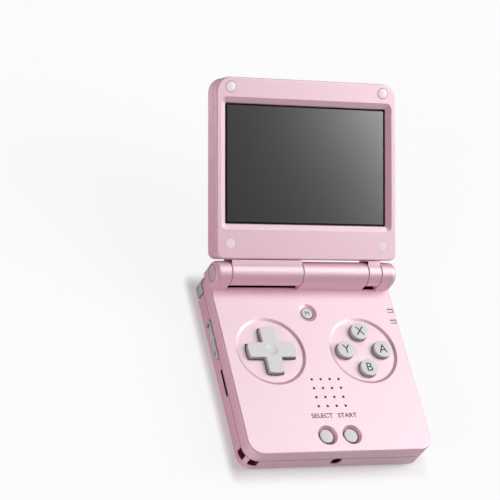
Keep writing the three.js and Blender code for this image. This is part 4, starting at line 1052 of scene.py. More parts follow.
class HANDHELD_OT_base_bottom(bpy.types.Operator):
    """Lower half of the base with its bevels, screw wells and lanyard post"""
    bl_idname = "handheld.base_bottom"
    bl_label = "Base Bottom"

    def execute(self, context):
        size = context.scene.handheld.shell
        outline = base_outline()
        levels = softened([*UNDERSIDE, (SEAM_LOW - 0.4 * MM, 0)], UNDERSIDE_SOFT)
        body = stack(outline, levels[1:] + round_over(SEAM_LOW, size.seam_round, 3))
        cavity = stack(outline, [(BASE_FLOOR, 4 * MM), (3.8 * MM, WALL), (SEAM_LOW + OVER, WALL)])
        wells = [centre_of(f"base_screw_{place}") for place in SCREW_PLACES]
        foot, head = 0.8 * MM, SEAM_LOW - SKIN
        posts = [moved(disc(STRAP_WALL, foot, head, 64), *STRAP_CORNER)]
        posts += [moved(disc(WELL_WALL, foot, head), well.x, well.y) for well in wells]
        body = join(cut(body, cavity), *posts)
        lip = WELL_LIP
        deep = [(-OVER, -lip - OVER), (0, -lip), (lip * 0.7, -lip * 0.3), (lip, 0), (WELL_DEPTH, 0)]
        tools = []
        for well in wells:
            bore = disc(WELL_BORE, WELL_SHELF, SEAM_LOW + OVER, 24)
            tools += [moved(mesh, well.x, well.y) for mesh in (stack(circle(WELL_RADIUS), deep), bore)]
        body = cut(body, *tools)
        body = cut(body, *self.strap_channel(), self.scoop(), *self.mould_marks(), *wall_openings(size.lip),
                   *shoulder_notches())
        piece("base_bottom", body, "base", "shell", ["base_bottom_shell"])
        # A black strip in the seam's gap: painted shade of the seam.
        tight, inset = 0.01 * MM, 0.05 * MM
        strip = stack(outline, [(SEAM_LOW + tight, inset), (SEAM_LOW + size.seam_gap - tight, inset)])
        hollow = stack(outline, [(SEAM_LOW - OVER, WALL / 2), (SEAM_LOW + 1 * MM, WALL / 2)])
        strip = cut(strip, hollow, *wall_openings(0.0), *shoulder_notches())
        piece("seam_painted_shade", strip, "base", "soft_black")
        # A dark pink skin inside the strap channel: painted shade of its hollow.
        channel_shade = join(*self.strap_channel(SKIN, FRONT_CORNER - 0.28 * MM, STRAP_LOW + SKIN, SEAM_LOW - SKIN))
        thick = 0.15 * MM
        inside = self.strap_channel(thick + 0.01 * MM, FRONT_CORNER, STRAP_LOW + thick, SEAM_LOW - thick)
        piece("strap_channel", cut(channel_shade, *inside), "base", "painted_shade_pink")
        return {"FINISHED"}

    def strap_channel(self, margin=0.0, out=FRONT_CORNER + OVER, low=STRAP_LOW, high=SEAM_LOW + OVER):
        """Channel behind the corner post and its two mouths, made smaller by a margin."""
        def sector(outer, start, end):
            spare = math.degrees(margin * 1.2 / outer)
            start, end = start + spare, end - spare
            points = arc(outer, start, end, 12, *STRAP_CORNER)
            points += arc(STRAP_INNER + margin, end, start, 12, *STRAP_CORNER)
            return prism(fixed(points), low, high)

        first = STRAP_MIDDLE - STRAP_POST / 2 - STRAP_MOUTH
        second = first + STRAP_MOUTH + STRAP_POST
        return [sector(STRAP_OUTER - margin, first, second + STRAP_MOUTH),
                sector(out, first, first + STRAP_MOUTH), sector(out, second, second + STRAP_MOUTH)]

    def scoop(self):
        """Finger scoop below the right card slot."""
        radius = 7 * MM
        levels = [(HALF - 1.2 * MM, 0.4 * MM), (HALF - 1.1 * MM, 0.1 * MM), (HALF - 0.9 * MM, 0),
                  (HALF - 0.1 * MM, 0), (HALF, -0.1 * MM), (HALF + OVER, -OVER)]
        return moved(stack(circle(radius, 96), levels, ALONG_X), 0, CARD_Y, SEAM_LOW + radius - 2 * MM)

    def mould_marks(self):
        """Four tiny triangular marks on the underside."""
        made = []
        for x, y, start in ((-30, 33, 90), (30, 33, 90), (-32, -40.5, 270), (32, -40.5, 270)):
            triangle = softened(arc(0.9 * MM, start, start + 240, 2), 0.15 * MM, steps=2, closed=True)
            made.append(moved(prism(fixed(triangle), -OVER, 0.25 * MM), x * MM, y * MM))
        return made


class HANDHELD_OT_hinge_covers(bpy.types.Operator):
    """Round covers in the outer ends of the hinge, each in a thin ring of painted shade"""
    bl_idname = "handheld.hinge_covers"
    bl_label = "Hinge Covers"

    def execute(self, context):
        for name in ("hinge_cover_left", "hinge_cover_right"):
            low, high = box_of(name)
            inner, outer = depth_of(name)
            radius = (high.z - low.z) / 2
            profile = [(0, inner), (radius, inner)] + rim(radius, round_over(outer, 0.2 * MM, 4))
            profile += [(radius - 0.9 * MM, outer - 0.02 * MM), (0, outer - 0.12 * MM)]
            piece(name + "_disc", in_wall(turned(profile, ALONG_X), name), "base", "cover", [name])
            # A thin dark pink ring round each cover: painted shade of the groove round it.
            ring = rod(radius + 0.1 * MM, HALF - 0.2 * MM, HALF + 0.03 * MM)
            ring = cut(ring, rod(radius + 0.005 * MM, 0, 2 * HALF))
            piece(name + "_ring", in_wall(ring, name), "base", "painted_shade_pink")
        return {"FINISHED"}


class HANDHELD_OT_base_screws(bpy.types.Operator):
    """Cross-head screws at the bottom of the four wells"""
    bl_idname = "handheld.base_screws"
    bl_label = "Base Screws"

    def execute(self, context):
        head = ((0, 0), (1.2, 0), (1.65, 0.12), (1.88, 0.45), (1.9, 1.3), (0.9, 1.3))
        for place in SCREW_PLACES:
            node = f"base_screw_{place}"
            low, high = box_of(node)
            spot = centre_of(node)
            profile = [(radius * MM, low.z + height * MM) for radius, height in head]
            body = turned(profile + [(0.9 * MM, high.z - MM), (0, high.z)], sides=40)
            slot = cross(2.2 * MM, 0.55 * MM, 0.05 * MM, 0.05 * MM, 0.08 * MM)
            drive = stack(slot, [(low.z - OVER, -0.1 * MM), (low.z, 0), (low.z + 0.8 * MM, 0.16 * MM)])
            drive.transform(Matrix.Rotation(math.radians(20 if "rear" in place else 62), 4, "Z"))
            piece(f"screw_{place}", moved(cut(body, drive), spot.x, spot.y), "base", "steel", [node])
        return {"FINISHED"}


class HANDHELD_OT_cross_pad(bpy.types.Operator):
    """Cross pad with bulged arms and a round hollow in the middle"""
    bl_idname = "handheld.cross_pad"
    bl_label = "Cross Pad"

    def execute(self, context):
        size = context.scene.handheld.controls
        low, high = box_of("dpad")
        top = high.z + KEY_LIFT
        outline = cross(PAD_SPAN, PAD_ARM, PAD_BULGE, size.pad_corner, 0.5 * MM)
        body = stack(outline, [(low.z, 0)] + round_over(top, size.pad_edge, 7))
        flange = disc(PAD_FLANGE, low.z, low.z + KEY_FLANGE)
        radius, steps = PAD_HOLLOW, 10
        curve = (radius ** 2 + size.dimple ** 2) / (2 * size.dimple)
        spread = math.degrees(math.asin(radius / curve))
        hollow = arc(curve, -90, spread - 90, steps, 0, top - size.dimple + curve)
        wide = radius + 0.5 * MM
        hollow = softened(hollow + [(wide, top + 0.02 * MM)], [0] * steps + [0.5 * MM, 0])
        hollow += [(wide, top + OVER), (0, top + OVER)]
        socket = disc(PAD_SOCKET, low.z - OVER, low.z + PAD_SOCKET_DEPTH, 24)
        body = cut(join(body, flange), turned(hollow), socket)
        piece("cross_pad", moved(body, -DISH_X, DISH_Y), "dpad", "key", ["dpad"])
        return {"FINISHED"}


class HANDHELD_OT_round_buttons(bpy.types.Operator):
    """Face, menu, select and start buttons"""
    bl_idname = "handheld.round_buttons"
    bl_label = "Round Buttons"

    def execute(self, context):
        size = context.scene.handheld.controls
        crown = size.button_crown
        radii = {**dict.fromkeys(FACE_BUTTONS, FACE_RADIUS), "button_menu": MENU_RADIUS,
                 **dict.fromkeys(SMALL_BUTTONS, SMALL_RADIUS)}
        for node, radius in radii.items():
            low, high = box_of(node)
            spot = centre_of(node)
            top = high.z + (KEY_LIFT if node in FACE_BUTTONS else 0) - crown
            flange, foot, inner = (high.x - low.x) / 2, low.z + KEY_FLANGE, radius - size.button_edge
            profile = [(0, low.z), (flange, low.z), (flange, foot), (radius, foot)]
            profile += rim(radius, round_over(top, size.button_edge))
            profile += [(inner * (1 - k / 4), top + crown * (1 - (1 - k / 4) ** 2)) for k in range(1, 5)]
            piece(node + "_cap", moved(turned(profile), spot.x, spot.y), node, "key", [node])
        return {"FINISHED"}


class HANDHELD_OT_hole_painted_shade(bpy.types.Operator):
    """Black tubes in the holes round the pad and the buttons: painted shade of the gaps round the keys"""
    bl_idname = "handheld.hole_linings"
    bl_label = "Hole Painted Shade"

    def execute(self, context):
        made = []
        for node, outline, spot, _, top in key_holes(context.scene.handheld.shell):
            outside = 0.01 * MM if node == "dpad" else 0.02 * MM
            inside = outside + 0.06 * MM
            high = top - 0.03 * MM
            low = high - 0.6 * MM
            tube = stack(outline, [(low, outside), (high, outside)])
            hollow = stack(outline, [(low - OVER, inside), (high + OVER, inside)])
            made.append(moved(cut(tube, hollow), spot.x, spot.y))
        piece("hole_linings", gathered(*made), "base", "soft_black")
        return {"FINISHED"}


class HANDHELD_OT_side_keys(bpy.types.Operator):
    """Volume rocker on the left wall, power and reset buttons on the right wall"""
    bl_idname = "handheld.side_keys"
    bl_label = "Side Keys"

    def execute(self, context):
        for node, span in KEY_LENGTHS.items():
            low, high = box_of(node)
            inner, outer = depth_of(node)
            height = high.z - low.z
            edge = round_over(outer, min(outer - HALF, 0.45 * MM))
            flange = prism(pill(span + 1.6 * MM, height - 0.25 * MM), inner, inner + 0.8 * MM, ALONG_X)
            body = join(stack(pill(span, height), [(inner, 0)] + edge, ALONG_X), flange)
            if node == "volume_rocker":
                waist = 1.7 * MM
                body = cut(body, moved(disc(waist, -height, height, 96), outer - 0.5 * MM + waist))
            piece(node + "_cap", in_wall(body, node), node, "painted_shade_side_key", [node])
        return {"FINISHED"}


class HANDHELD_OT_shoulder_keys(bpy.types.Operator):
    """Four shoulder buttons along the rear edge of the base"""
    bl_idname = "handheld.shoulder_keys"
    bl_label = "Shoulder Keys"

    def execute(self, context):
        top, soft, bevel = SHOULDER_TOP, 0.3 * MM, 2.4 * MM
        step, under_board = REAR - 2.3 * MM, SEAM_LOW + 0.1 * MM
        for node, (depth, corner) in SHOULDER_KEYS.items():
            low, high = box_of(node)
            front, back, right = REAR - depth, high.y, high.x
            body = prism(rounded(low.x, right, front, back, 0.4 * MM, corner, steps=10), low.z, top)
            side = [(front - OVER, low.z), (back - bevel, low.z), (back, low.z + bevel), (back, top - soft),
                    (back - soft, top), (step, top), (step, under_board), (front - OVER, under_board)]
            tools = [prism(fixed(side), low.x - OVER, right + OVER, ALONG_X)]
            if node == "shoulder_r1":
                across = [(top, 0), (top, right - soft), (top - soft, right), (low.z + bevel, right),
                          (low.z, right - bevel), (low.z, 0)]
                tools.append(prism(fixed(across), 0, back + OVER, ALONG_Y))
            body = kept_within(body, *tools)
            for mesh, name in ((body, node), (mirrored(body), node.replace("_r", "_l"))):
                piece(name + "_cap", mesh, name, "painted_shade_side_key", [name], sharp=50)
        return {"FINISHED"}


class HANDHELD_OT_ports(bpy.types.Operator):
    """USB-C and mini HDMI sockets, audio jack"""
    bl_idname = "handheld.ports"
    bl_label = "Ports"

    def execute(self, context):
        skin, soft, pins = 0.35 * MM, 0.1 * MM, 8
        for node, outline, width, spot in PORTS:
            low, high = box_of(node)
            half, face = width / 2 - 1.2 * MM, high.y - WALL
            body = stack(outline, [(low.y, 0)] + round_over(high.y, soft, 3), ALONG_Y)
            mouth = stack(shrunk(outline, skin), flared(low.y + WALL, high.y, soft), ALONG_Y)
            body = join(cut(body, mouth), block(-half, half, low.y + skin, face, -skin, skin))
            piece(node + "_socket", moved(body, spot.x, 0, spot.z), "base", "steel", [node])
            pin = (0.16 * MM, high.y - 5 * MM, face - 0.2 * MM, 0.38 * MM)
            pitch = (2 * half - 1 * MM) / (pins - 1)
            contacts = [moved(block(-pin[0], pin[0], pin[1], pin[2], -pin[3], pin[3]),
                              spot.x + (k - (pins - 1) / 2) * pitch, 0, spot.z) for k in range(pins)]
            piece(node + "_contacts", gathered(*contacts), "base", "chrome", weigh=False)
        self.card_painted_shade()
        cloth = [(CEILING + 0.05 * MM, 0)] + round_over(TOP - 0.15 * MM, 0.1 * MM, 3)
        piece("speaker_cloth", speaker_grid(SPEAKER_HOLE - 0.01 * MM, cloth), "base", "soft_black")
        self.audio_jack()
        return {"FINISHED"}

    def card_painted_shade(self):
        """Black sleeves inside the two card slots: painted shade of their mouths."""
        foot = HALF - WALL - 0.6 * MM
        outer = prism(card_slot_shade(SKIN), foot, HALF - 0.06 * MM, ALONG_X)
        inner = prism(card_slot_shade(0.14 * MM), foot + 0.2 * MM, HALF, ALONG_X)
        right = moved(cut(outer, inner), 0, CARD_Y, CARD_Z)
        for mesh, side in ((mirrored(right), "left"), (right, "right")):
            piece(f"card_slot_shade_{side}", mesh, "base", "soft_black")

    def audio_jack(self):
        """Round socket in the front wall, drawn from behind."""
        low, high = box_of("audio_jack")
        along = HALF_TURN @ ALONG_Y
        collar = stack(circle(JACK_COLLAR), [(-low.y - 3 * MM, 0)] + round_over(-low.y, 0.35 * MM, 4), along)
        bore = stack(circle(JACK_BORE), flared(-high.y + WALL, -low.y, 0.2 * MM), along)
        for mesh in (collar, bore):
            moved(mesh, centre_of("audio_jack").x, 0, JACK_Z)
        body = cut(join(block(low.x, high.x, low.y + 2 * MM, high.y, low.z, high.z), collar), bore)
        piece("audio_jack_socket", body, "base", "black", ["audio_jack"])


class HANDHELD_OT_indicators(bpy.types.Operator):
    """Two clear windows at the right edge; the bars beside them are made with the letters"""
    bl_idname = "handheld.indicators"
    bl_label = "Indicators"

    def execute(self, context):
        for node in INDICATORS:
            low, high = box_of(node)
            body = stack(indicator_outline(node), [(low.z, 0)] + round_over(high.z, 0.15 * MM, 4))
            piece(node + "_window", body, "base", "window", [node])
        return {"FINISHED"}


class HANDHELD_OT_lid_back(bpy.types.Operator):
    """Back of the lid with its barrel, knuckle and badge pocket"""
    bl_idname = "handheld.lid_back"
    bl_label = "Lid Back"

    def execute(self, context):
        size = context.scene.handheld.lid
        low, high = lid_box("lid_front_frame")
        back, seam, ridge = high.z - LID_THICKNESS, low.z - LID_SEAM, 0.35 * MM
        outline = lid_outline()
        levels = softened(
            [(back, size.bevel_width + OVER), (back, size.bevel_width), (back + size.bevel_height, ridge),
             (back + size.bevel_height + ridge, 0), (seam - 0.5 * MM, 0)],
            [0, 0.5 * MM, 0.12 * MM, 0.2 * MM, 0])
        body = stack(outline, levels[1:] + round_over(seam, LID_SEAM_ROUND, 3))
        body = cut(body, stack(outline, [(back + 1.6 * MM, WALL), (seam + OVER, WALL)]))
        root, near = HINGE_RADIUS / 2, low.y - GAP
        neck = [(root, NECK_LOW), (near, NECK_LOW), (near, NECK_HIGH), (root, NECK_HIGH)]
        neck = softened(neck, [0, 0, 0.3 * MM, 0], closed=True)
        parts = []
        for start, end in LID_STRETCHES:
            levels = broken(start + GAP, end - GAP)
            start, end = levels[1][0], levels[2][0]
            parts += [stack(circle(HINGE_RADIUS, 64), levels, ALONG_X),
                      prism(fixed(neck), start, end, ALONG_X),
                      block(start, end, root, low.y + 1.2 * MM, NECK_LOW, seam - 0.1 * MM)]
        pocket = stack(pill(20.2 * MM, 6.4 * MM), [(back - OVER, -0.1 * MM), (back + 0.6 * MM, 0)])
        moved(pocket, 0, centre_of("badge_ring", lid_box).y)
        body = cut(join(body, *parts), rod(HINGE_BORE, -HALF, HALF), pocket)
        lid_piece("lid_back", body, "shell", ["lid_back_shell"])
        return {"FINISHED"}


class HANDHELD_OT_hinge_gaps(bpy.types.Operator):
    """Painted shade in the hinge: black washers in the gaps between its segments, black strips in the grooves
    under its barrels and black plates on the sides of the lid's necks
    """
    bl_idname = "handheld.hinge_gaps"
    bl_label = "Hinge Gaps"

    def execute(self, context):
        spare = 0.05 * MM
        starts = [place for start, end in LID_STRETCHES for place in (start, end - GAP)]
        washers = [rod(4.75 * MM, start + spare, start + GAP - spare) for start in starts]
        piece("hinge_gap_painted_shade", on_hinge(gathered(*washers)), "base", "soft_black")
        # Black strips in the grooves under the barrels: painted shadow.
        rear, high = HINGE.y - 1 * MM, 0.15 * MM
        strips = [block(left + spare, right - spare, front + spare, rear, low + spare, low + high)
                  for left, right, front, low in hinge_grooves()]
        piece("groove_painted_shadow", gathered(*strips), "base", "soft_black")
        near = lid_box("lid_front_frame")[0].y - 0.5 * MM
        sides = [start + GAP + 0.1 * MM for start, _ in LID_STRETCHES]
        low, high = NECK_LOW + 0.2 * MM, NECK_HIGH - 0.25 * MM
        plates = [block(side, side + 0.04 * MM, HINGE_RADIUS * 0.8, near, low, high) for side in sides]
        lid_piece("neck_shades", gathered(*plates), "soft_black")
        return {"FINISHED"}


class HANDHELD_OT_lid_front(bpy.types.Operator):
    """Front frame of the lid with the sloped recess of its screen"""
    bl_idname = "handheld.lid_front"
    bl_label = "Lid Front"

    def execute(self, context):
        size = context.scene.handheld.lid
        low, high = lid_box("lid_front_frame")
        body = stack(lid_outline(), round_under(low.z, LID_SEAM_ROUND) + round_over(high.z, size.face_round))
        glass_low, glass_high = lid_box("screen_glass")
        wide = size.recess_width
        out = GAP + wide
        opening = rounded(
            glass_low.x - out, glass_high.x + out, glass_low.y - out, glass_high.y + out, 2.7 * MM, steps=10)
        levels = softened(
            [(glass_low.z - GAP, wide), (high.z - size.recess_depth, wide), (high.z, 0),
             (high.z + 0.03 * MM, -0.6 * MM)], [0, 0.15 * MM, 0.25 * MM, 0])
        tools = [stack(opening, levels + [(high.z + OVER, -0.8 * MM)])]
        for place in BUMPER_PLACES:
            _, spot, radius, raised = bumper(place)
            slack, lip = (0.17 * MM, 0.06 * MM) if raised else (0.06 * MM, 0.02 * MM)
            seat = stack(circle(radius + slack, 64), flared(high.z - 0.8 * MM, high.z, lip))
            tools.append(moved(seat, spot.x, spot.y))
        lid_piece("lid_front", cut(body, *tools), "shell", ["lid_front_frame"])
        return {"FINISHED"}


class HANDHELD_OT_bumpers(bpy.types.Operator):
    """Round bumpers in the corners of the lid's face; the two raised ones sit in thin rings of painted shade
    """
    bl_idname = "handheld.bumpers"
    bl_label = "Bumpers"

    def execute(self, context):
        face = lid_box("lid_front_frame")[1].z
        for place in BUMPER_PLACES:
            node, spot, radius, raised = bumper(place)
            low, high = lid_box(node)
            dome = round_over(high.z, 0.45 * MM if raised else 0.06 * MM, 10, radius)
            body = turned([(0, low.z), (radius, low.z)] + rim(radius, dome), at(spot.x, spot.y))
            lid_piece(node + "_dome", body, "bumper" if raised else "near_bumper", [node], sharp=60)
            # A thin dark pink ring round each raised bumper: painted shade of its seat.
            if raised:
                ring = disc(radius + 0.16 * MM, face - 0.5 * MM, face - 0.03 * MM, 64)
                ring = cut(ring, disc(radius + 0.01 * MM, low.z, high.z, 64))
                lid_piece(node + "_ring", moved(ring, spot.x, spot.y), "painted_shade_pink")
        return {"FINISHED"}


class HANDHELD_OT_screen(bpy.types.Operator):
    """Dark glass of the screen with its black border"""
    bl_idname = "handheld.screen"
    bl_label = "Screen"

    def execute(self, context):
        width = context.scene.handheld.lid.mask_width
        low, high = lid_box("screen_glass")
        outline = rounded(low.x, high.x, low.y, high.y, 0.5 * MM, steps=6)
        body = stack(outline, [(low.z, 0)] + round_over(high.z, 0.12 * MM, 3))
        lid_piece("screen_front", body, "screen", ["screen_glass"])
        opening = rounded(low.x + width, high.x - width, low.y + width, high.y - width, 0.4 * MM, steps=4)
        border = prism(outline, high.z - 0.05 * MM, high.z + 0.03 * MM)
        lid_piece("screen_border", cut(border, prism(opening, low.z, high.z + OVER)), "soft_black")
        return {"FINISHED"}


class HANDHELD_OT_badge(bpy.types.Operator):
    """Bare oval plate in a bright ring on the lid's back"""
    bl_idname = "handheld.badge"
    bl_label = "Badge"

    def execute(self, context):
        band = context.scene.handheld.lid.badge_band
        low, high = lid_box("badge_ring")
        turn = LID_PLACE @ at(0, (low.y + high.y) / 2, low.z) @ Matrix.Rotation(math.pi, 4, "X")
        span, tall, depth = high.x - low.x, high.y - low.y, high.z - low.z
        ring = stack(pill(span, tall, 16), [(-depth, 0)] + round_over(0, 0.2 * MM, 4))
        hole = stack(
            pill(span - 2 * band, tall - 2 * band, 16),
            [(-depth - OVER, 0), (-0.2 * MM, 0), (-0.1 * MM, -0.06 * MM), (0, -0.2 * MM), (OVER, -OVER)])
        lid_piece("badge_rim", cut(ring, hole), "chrome", ["badge_ring"], turn)
        plate_low, plate_high = lid_box("badge_plate")
        spare = 0.3 * MM
        oval = pill(plate_high.x - plate_low.x + spare, plate_high.y - plate_low.y + spare, 16)
        plate = stack(oval, [(-depth, 0)] + round_over(low.z - plate_low.z, 0.08 * MM, 3))
        lid_piece("badge_face", plate, "badge", ["badge_plate"], turn)
        return {"FINISHED"}


class HANDHELD_OT_legends(bpy.types.Operator):
    """Plain letters and marks of the controls, and the bars along the indicator windows, the rear ones
    painted shade
    """
    bl_idname = "handheld.legends"
    bl_label = "Legends"

    def execute(self, context):
        size = context.scene.handheld.controls
        for node in FACE_BUTTONS:
            self.letter(node[-1].upper(), size.legend_height, node, KEY_LIFT)
        self.letter("M", 1.9 * MM, "button_menu")
        for text, x, width in (("SELECT", -5.85 * MM, 9.9 * MM), ("START", 5.8 * MM, 8.8 * MM)):
            self.word(text, size.word_height, at(x, -26.65 * MM, TOP), "base", width, 0.012)
        self.rocker_marks()
        self.shoulder_marks()
        self.indicator_edge_bars()
        return {"FINISHED"}

    def letter(self, text, height, node, lift=0.0):
        """A letter on top of a button."""
        spot = centre_of(node)
        self.word(text, height, at(spot.x, spot.y, box_of(node)[1].z + lift - SKIN), node)

    def word(self, text, height, place, body, width=None, weight=0.0, thick=0.03 * MM):
        """Raised print of a word, its middle at a place and its face along the place's third axis."""
        curve = bpy.data.curves.new("print_" + text, "FONT")
        curve.body = text
        curve.offset = weight
        curve.resolution_u = 6
        made = bpy.data.objects.new("window_edge", curve)
        bpy.context.scene.collection.objects.link(made)
        graph = bpy.context.evaluated_depsgraph_get()
        flat = bpy.data.meshes.new_from_object(made.evaluated_get(graph))
        bpy.data.objects.remove(made)
        bpy.data.curves.remove(curve)
        corners = [vertex.co for vertex in flat.vertices]
        left, right = min(c.x for c in corners), max(c.x for c in corners)
        low, high = min(c.y for c in corners), max(c.y for c in corners)
        tall = height / (high - low)
        wide = width / (right - left) if width else tall
        flat.transform(Matrix.Diagonal((wide, tall, 1, 1)) @ at(-(left + right) / 2, -(low + high) / 2))
        shape = bmesh.new()
        shape.from_mesh(flat)
        bpy.data.meshes.remove(flat)
        bmesh.ops.remove_doubles(shape, verts=shape.verts, dist=0.001 * MM)
        grown = bmesh.ops.extrude_face_region(shape, geom=shape.faces[:])
        lifted = [item for item in grown["geom"] if isinstance(item, bmesh.types.BMVert)]
        bmesh.ops.translate(shape, verts=lifted, vec=(0, 0, thick))
        bmesh.ops.recalc_face_normals(shape, faces=shape.faces[:])
        mesh = bpy.data.meshes.new("window_edge")
        shape.to_mesh(mesh)
        shape.free()
        piece(f"print_{text.lower()}_{body}", mesh, body, "ink", place=place, sharp=30, weigh=False)

    def bar(self, name, width, height, place, body, finish="ink"):
        """One thin bar: the rocker's print, or a bar along an indicator window."""
        outline = rounded(-width / 2, width / 2, -height / 2, height / 2, min(width, height) * 0.3, steps=3)
        piece(name, prism(outline, -SKIN, SKIN), body, finish, place=place, weigh=False)

    def rocker_marks(self):
        """Plus and minus on the two ends of the rocker."""
        spot = centre_of("volume_rocker")
        face = Matrix(((0, 0, -1, box_of("volume_rocker")[0].x), (-1, 0, 0, 0), (0, 1, 0, 0), (0, 0, 0, 1)))
        flat = Matrix.Rotation(QUARTER, 4, "Z")
        for name, y, turn in (("plus_bar", 6.6, flat), ("plus_post", 6.6, at(0)), ("minus_bar", -6.6, flat)):
            place = at(0, spot.y + y * MM, spot.z) @ face @ turn
            self.bar(f"print_{name}", 0.62 * MM, 2.2 * MM, place, "volume_rocker")

    def shoulder_marks(self):
        """Names of the shoulder buttons on their rear faces; the outer two's are nearer the middle."""
        for node in ("shoulder_r1", "shoulder_r2", "shoulder_l1", "shoulder_l2"):
            x = centre_of(node).x
            if node.endswith("1"):
                x -= math.copysign(1.5 * MM, x)
            y = box_of(node)[1].y - 0.015 * MM
            face = Matrix(((-1, 0, 0, x), (0, 0, 1, y), (0, 1, 0, 4.9 * MM), (0, 0, 0, 1)))
            self.word(node[-2:].upper(), 1.9 * MM, face, node)

    def indicator_edge_bars(self):
        """Two short bars along each window's front and rear edges: a dark one in front, and behind it a grey
        one of painted shade for the gap.
        """
        inset = 0.2 * MM
        for node in INDICATORS:
            low, high = box_of(node)
            for name, y, finish in (("front", low.y + inset, "ink"), ("rear", high.y - inset, "painted_gap_shade")):
                place = at((low.x + high.x) / 2, y, high.z)
                self.bar(f"print_{node}_{name}", 2.4 * MM, 0.34 * MM, place, "base", finish)


class HANDHELD_OT_insides(bpy.types.Operator):
    """Finishes of the pieces inside the base and the lid"""
    bl_idname = "handheld.insides"
    bl_label = "Insides"

    def execute(self, context):
        finishes = {
            "board": ["mainboard", "volume_switch_board", "side_switch_board", "shoulder_board_left",
                      "shoulder_board_right"],
            "battery": ["battery"],
            "black": ["speaker", "dpad_pivot", "display_panel"],
            "rubber": ["dpad_membrane", "face_button_membrane", "select_start_membrane"],
            "steel": ["card_socket_left", "card_socket_right", "hinge_click_module", "hinge_pin",
                      "hinge_cam_shaft"] + [f"lid_screw_{place}" for place in BUMPER_PLACES],
            "ribbon": ["display_ribbon"],
        }
        for finish, nodes in finishes.items():
            for node in nodes:
                slots = frame["nodes"][node].material_slots
                if not slots:
                    raise RuntimeError(f"{node} has no material slot")
                for slot in slots:
                    slot.material = material(finish)
        return {"FINISHED"}


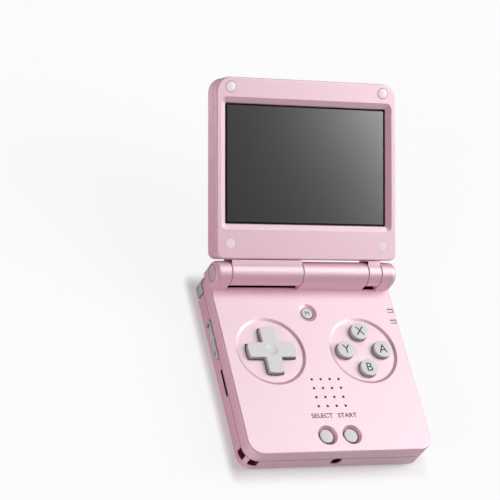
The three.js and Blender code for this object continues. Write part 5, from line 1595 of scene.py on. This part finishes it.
class HANDHELD_OT_stage(bpy.types.Operator):
    """Pale floor, soft light and the camera"""
    bl_idname = "handheld.stage"
    bl_label = "Stage"

    def execute(self, context):
        size = context.scene.handheld.stage
        self.floor(size)
        self.sky(size)
        self.light("key_light", size.key_power, 0.5, (0.92, -0.03, 0.6)).visible_glossy = False
        self.light("sheen_light", size.sheen_power, 1.0, (1, 0, 0.66)).visible_diffuse = False
        self.light("screen_light", size.screen_power, 0.5, (0.78, -0.12, 0.84))
        self.light("upper_light", size.upper_power, 0.7, (0.5, 0.3, 0.9))
        fill = self.light("fill_light", size.fill_power, 0.6, (-0.8, -0.28, 0.2))
        fill.data.color = (1, 0.87, 0.93)
        fill.visible_glossy = False
        self.camera(size)
        return {"FINISHED"}

    def floor(self, size):
        """Floor seen as plain white, but close to the console less of it is white glow: there its real shadow
        shows, darkened further by painted shade.
        """
        made = Finish("pale_floor")
        path = made.node("ShaderNodeLightPath")
        direct = made.value(path, "Is Camera Ray")
        plain = made.blend(made.noise(0.03, 2), *toned(size.floor, 0.995, 1))
        colour = made.blend(direct, plain, (0.95, 0.95, 0.95))
        matt = made.node("ShaderNodeBsdfDiffuse", inputs={"Color": colour, "Roughness": 0.5})
        glow = made.node("ShaderNodeEmission", inputs={"Color": (1, 1, 1, 1), "Strength": 1.0})
        x, y, _ = made.axes()
        beside = (abs(x) - HALF).most(0.0) * 1.6
        before = (abs(y) - REAR).most(0.0)
        # Painted shade: a halo round the console's footprint, darkest at its edge.
        near = (1 - (beside * beside + before * before) / SHADE_SPREAD ** 2).most(0.0)
        glow_share_with_painted_shade = size.floor_glow * (1 - size.floor_shade * (near * near))
        seen = direct.most(made.value(path, "Is Transmission Ray"))
        far = FLOOR_HALF
        mesh = mesh_from([(-far, -far, 0), (far, -far, 0), (far, far, 0), (-far, far, 0)], [(0, 1, 2, 3)])
        mesh.materials.append(made.finished(made.mixed(seen * glow_share_with_painted_shade, matt, glow)))
        floor = bpy.data.objects.new("floor", mesh)
        floor.location.z = -0.1 * MM
        bpy.context.scene.collection.objects.link(floor)

    def sky(self, size):
        """Even light from all round, seen as white."""
        world = bpy.data.worlds.new("even_light")
        made = Finish("even_light", world)
        ray = made.value(made.node("ShaderNodeLightPath"), "Is Camera Ray")
        light, white = (
            made.node("ShaderNodeBackground", inputs={"Color": (1, 1, 1, 1), "Strength": strength})
            for strength in (size.sky, 1.0))
        made.node("ShaderNodeOutputWorld", inputs={"Surface": made.mixed(ray, light, white)})
        bpy.context.scene.world = world

    def light(self, name, power, side, place):
        lamp = bpy.data.lights.new(name, "AREA")
        lamp.energy, lamp.shape, lamp.size = power, "SQUARE", side
        made = bpy.data.objects.new(name, lamp)
        made.location = place
        made.rotation_euler = (Vector(LIGHT_TARGET) - made.location).to_track_quat("-Z", "Y").to_euler()
        bpy.context.scene.collection.objects.link(made)
        return made

    def camera(self, size):
        lens = bpy.data.cameras.new("view")
        lens.lens, lens.sensor_width, lens.sensor_fit = size.lens, 36, "AUTO"
        lens.clip_start, lens.clip_end = 0.01, 10
        view = bpy.data.objects.new("view", lens)
        view.location = CAMERA_PLACE
        view.rotation_euler = [math.radians(angle) for angle in CAMERA_TURN]
        scene = bpy.context.scene
        scene.collection.objects.link(view)
        scene.camera = view
        scene.view_settings.view_transform = "Standard"


class HANDHELD_PT_panel(bpy.types.Panel):
    """Settings and steps of the console"""
    bl_idname = "HANDHELD_PT_panel"
    bl_label = "Handheld Console"
    bl_space_type = "VIEW_3D"
    bl_region_type = "UI"
    bl_category = "Handheld"

    def draw(self, context):
        settings = context.scene.handheld
        for name in ("shell", "controls", "lid", "finish", "stage"):
            group = getattr(settings, name)
            box = self.layout.box()
            box.label(text=name.title())
            for key in group.bl_rna.properties.keys():
                if key not in ("rna_type", "name"):
                    box.prop(group, key)
        for step in STEPS:
            self.layout.operator(step.bl_idname)


STEPS = (
    HANDHELD_OT_base_top, HANDHELD_OT_base_bottom, HANDHELD_OT_hinge_covers, HANDHELD_OT_base_screws,
    HANDHELD_OT_cross_pad, HANDHELD_OT_round_buttons, HANDHELD_OT_hole_painted_shade, HANDHELD_OT_side_keys,
    HANDHELD_OT_shoulder_keys, HANDHELD_OT_ports, HANDHELD_OT_indicators, HANDHELD_OT_lid_back,
    HANDHELD_OT_hinge_gaps, HANDHELD_OT_lid_front, HANDHELD_OT_bumpers, HANDHELD_OT_screen,
    HANDHELD_OT_badge, HANDHELD_OT_legends, HANDHELD_OT_insides, HANDHELD_OT_stage,
)
CLASSES = (
    HandheldShell, HandheldControls, HandheldLid, HandheldFinish, HandheldStage, HandheldSettings,
    *STEPS, HANDHELD_PT_panel,
)


def register():
    for item in CLASSES:
        bpy.utils.register_class(item)
    bpy.types.Scene.handheld = bpy.props.PointerProperty(
        type=HandheldSettings, name="Handheld", description="Settings of the console")


def unregister():
    del bpy.types.Scene.handheld
    for item in reversed(CLASSES):
        bpy.utils.unregister_class(item)


def main():
    register()
    for step in STEPS:
        group, name = step.bl_idname.split(".")
        getattr(getattr(bpy.ops, group), name)()


if __name__ == "__main__":
    main()
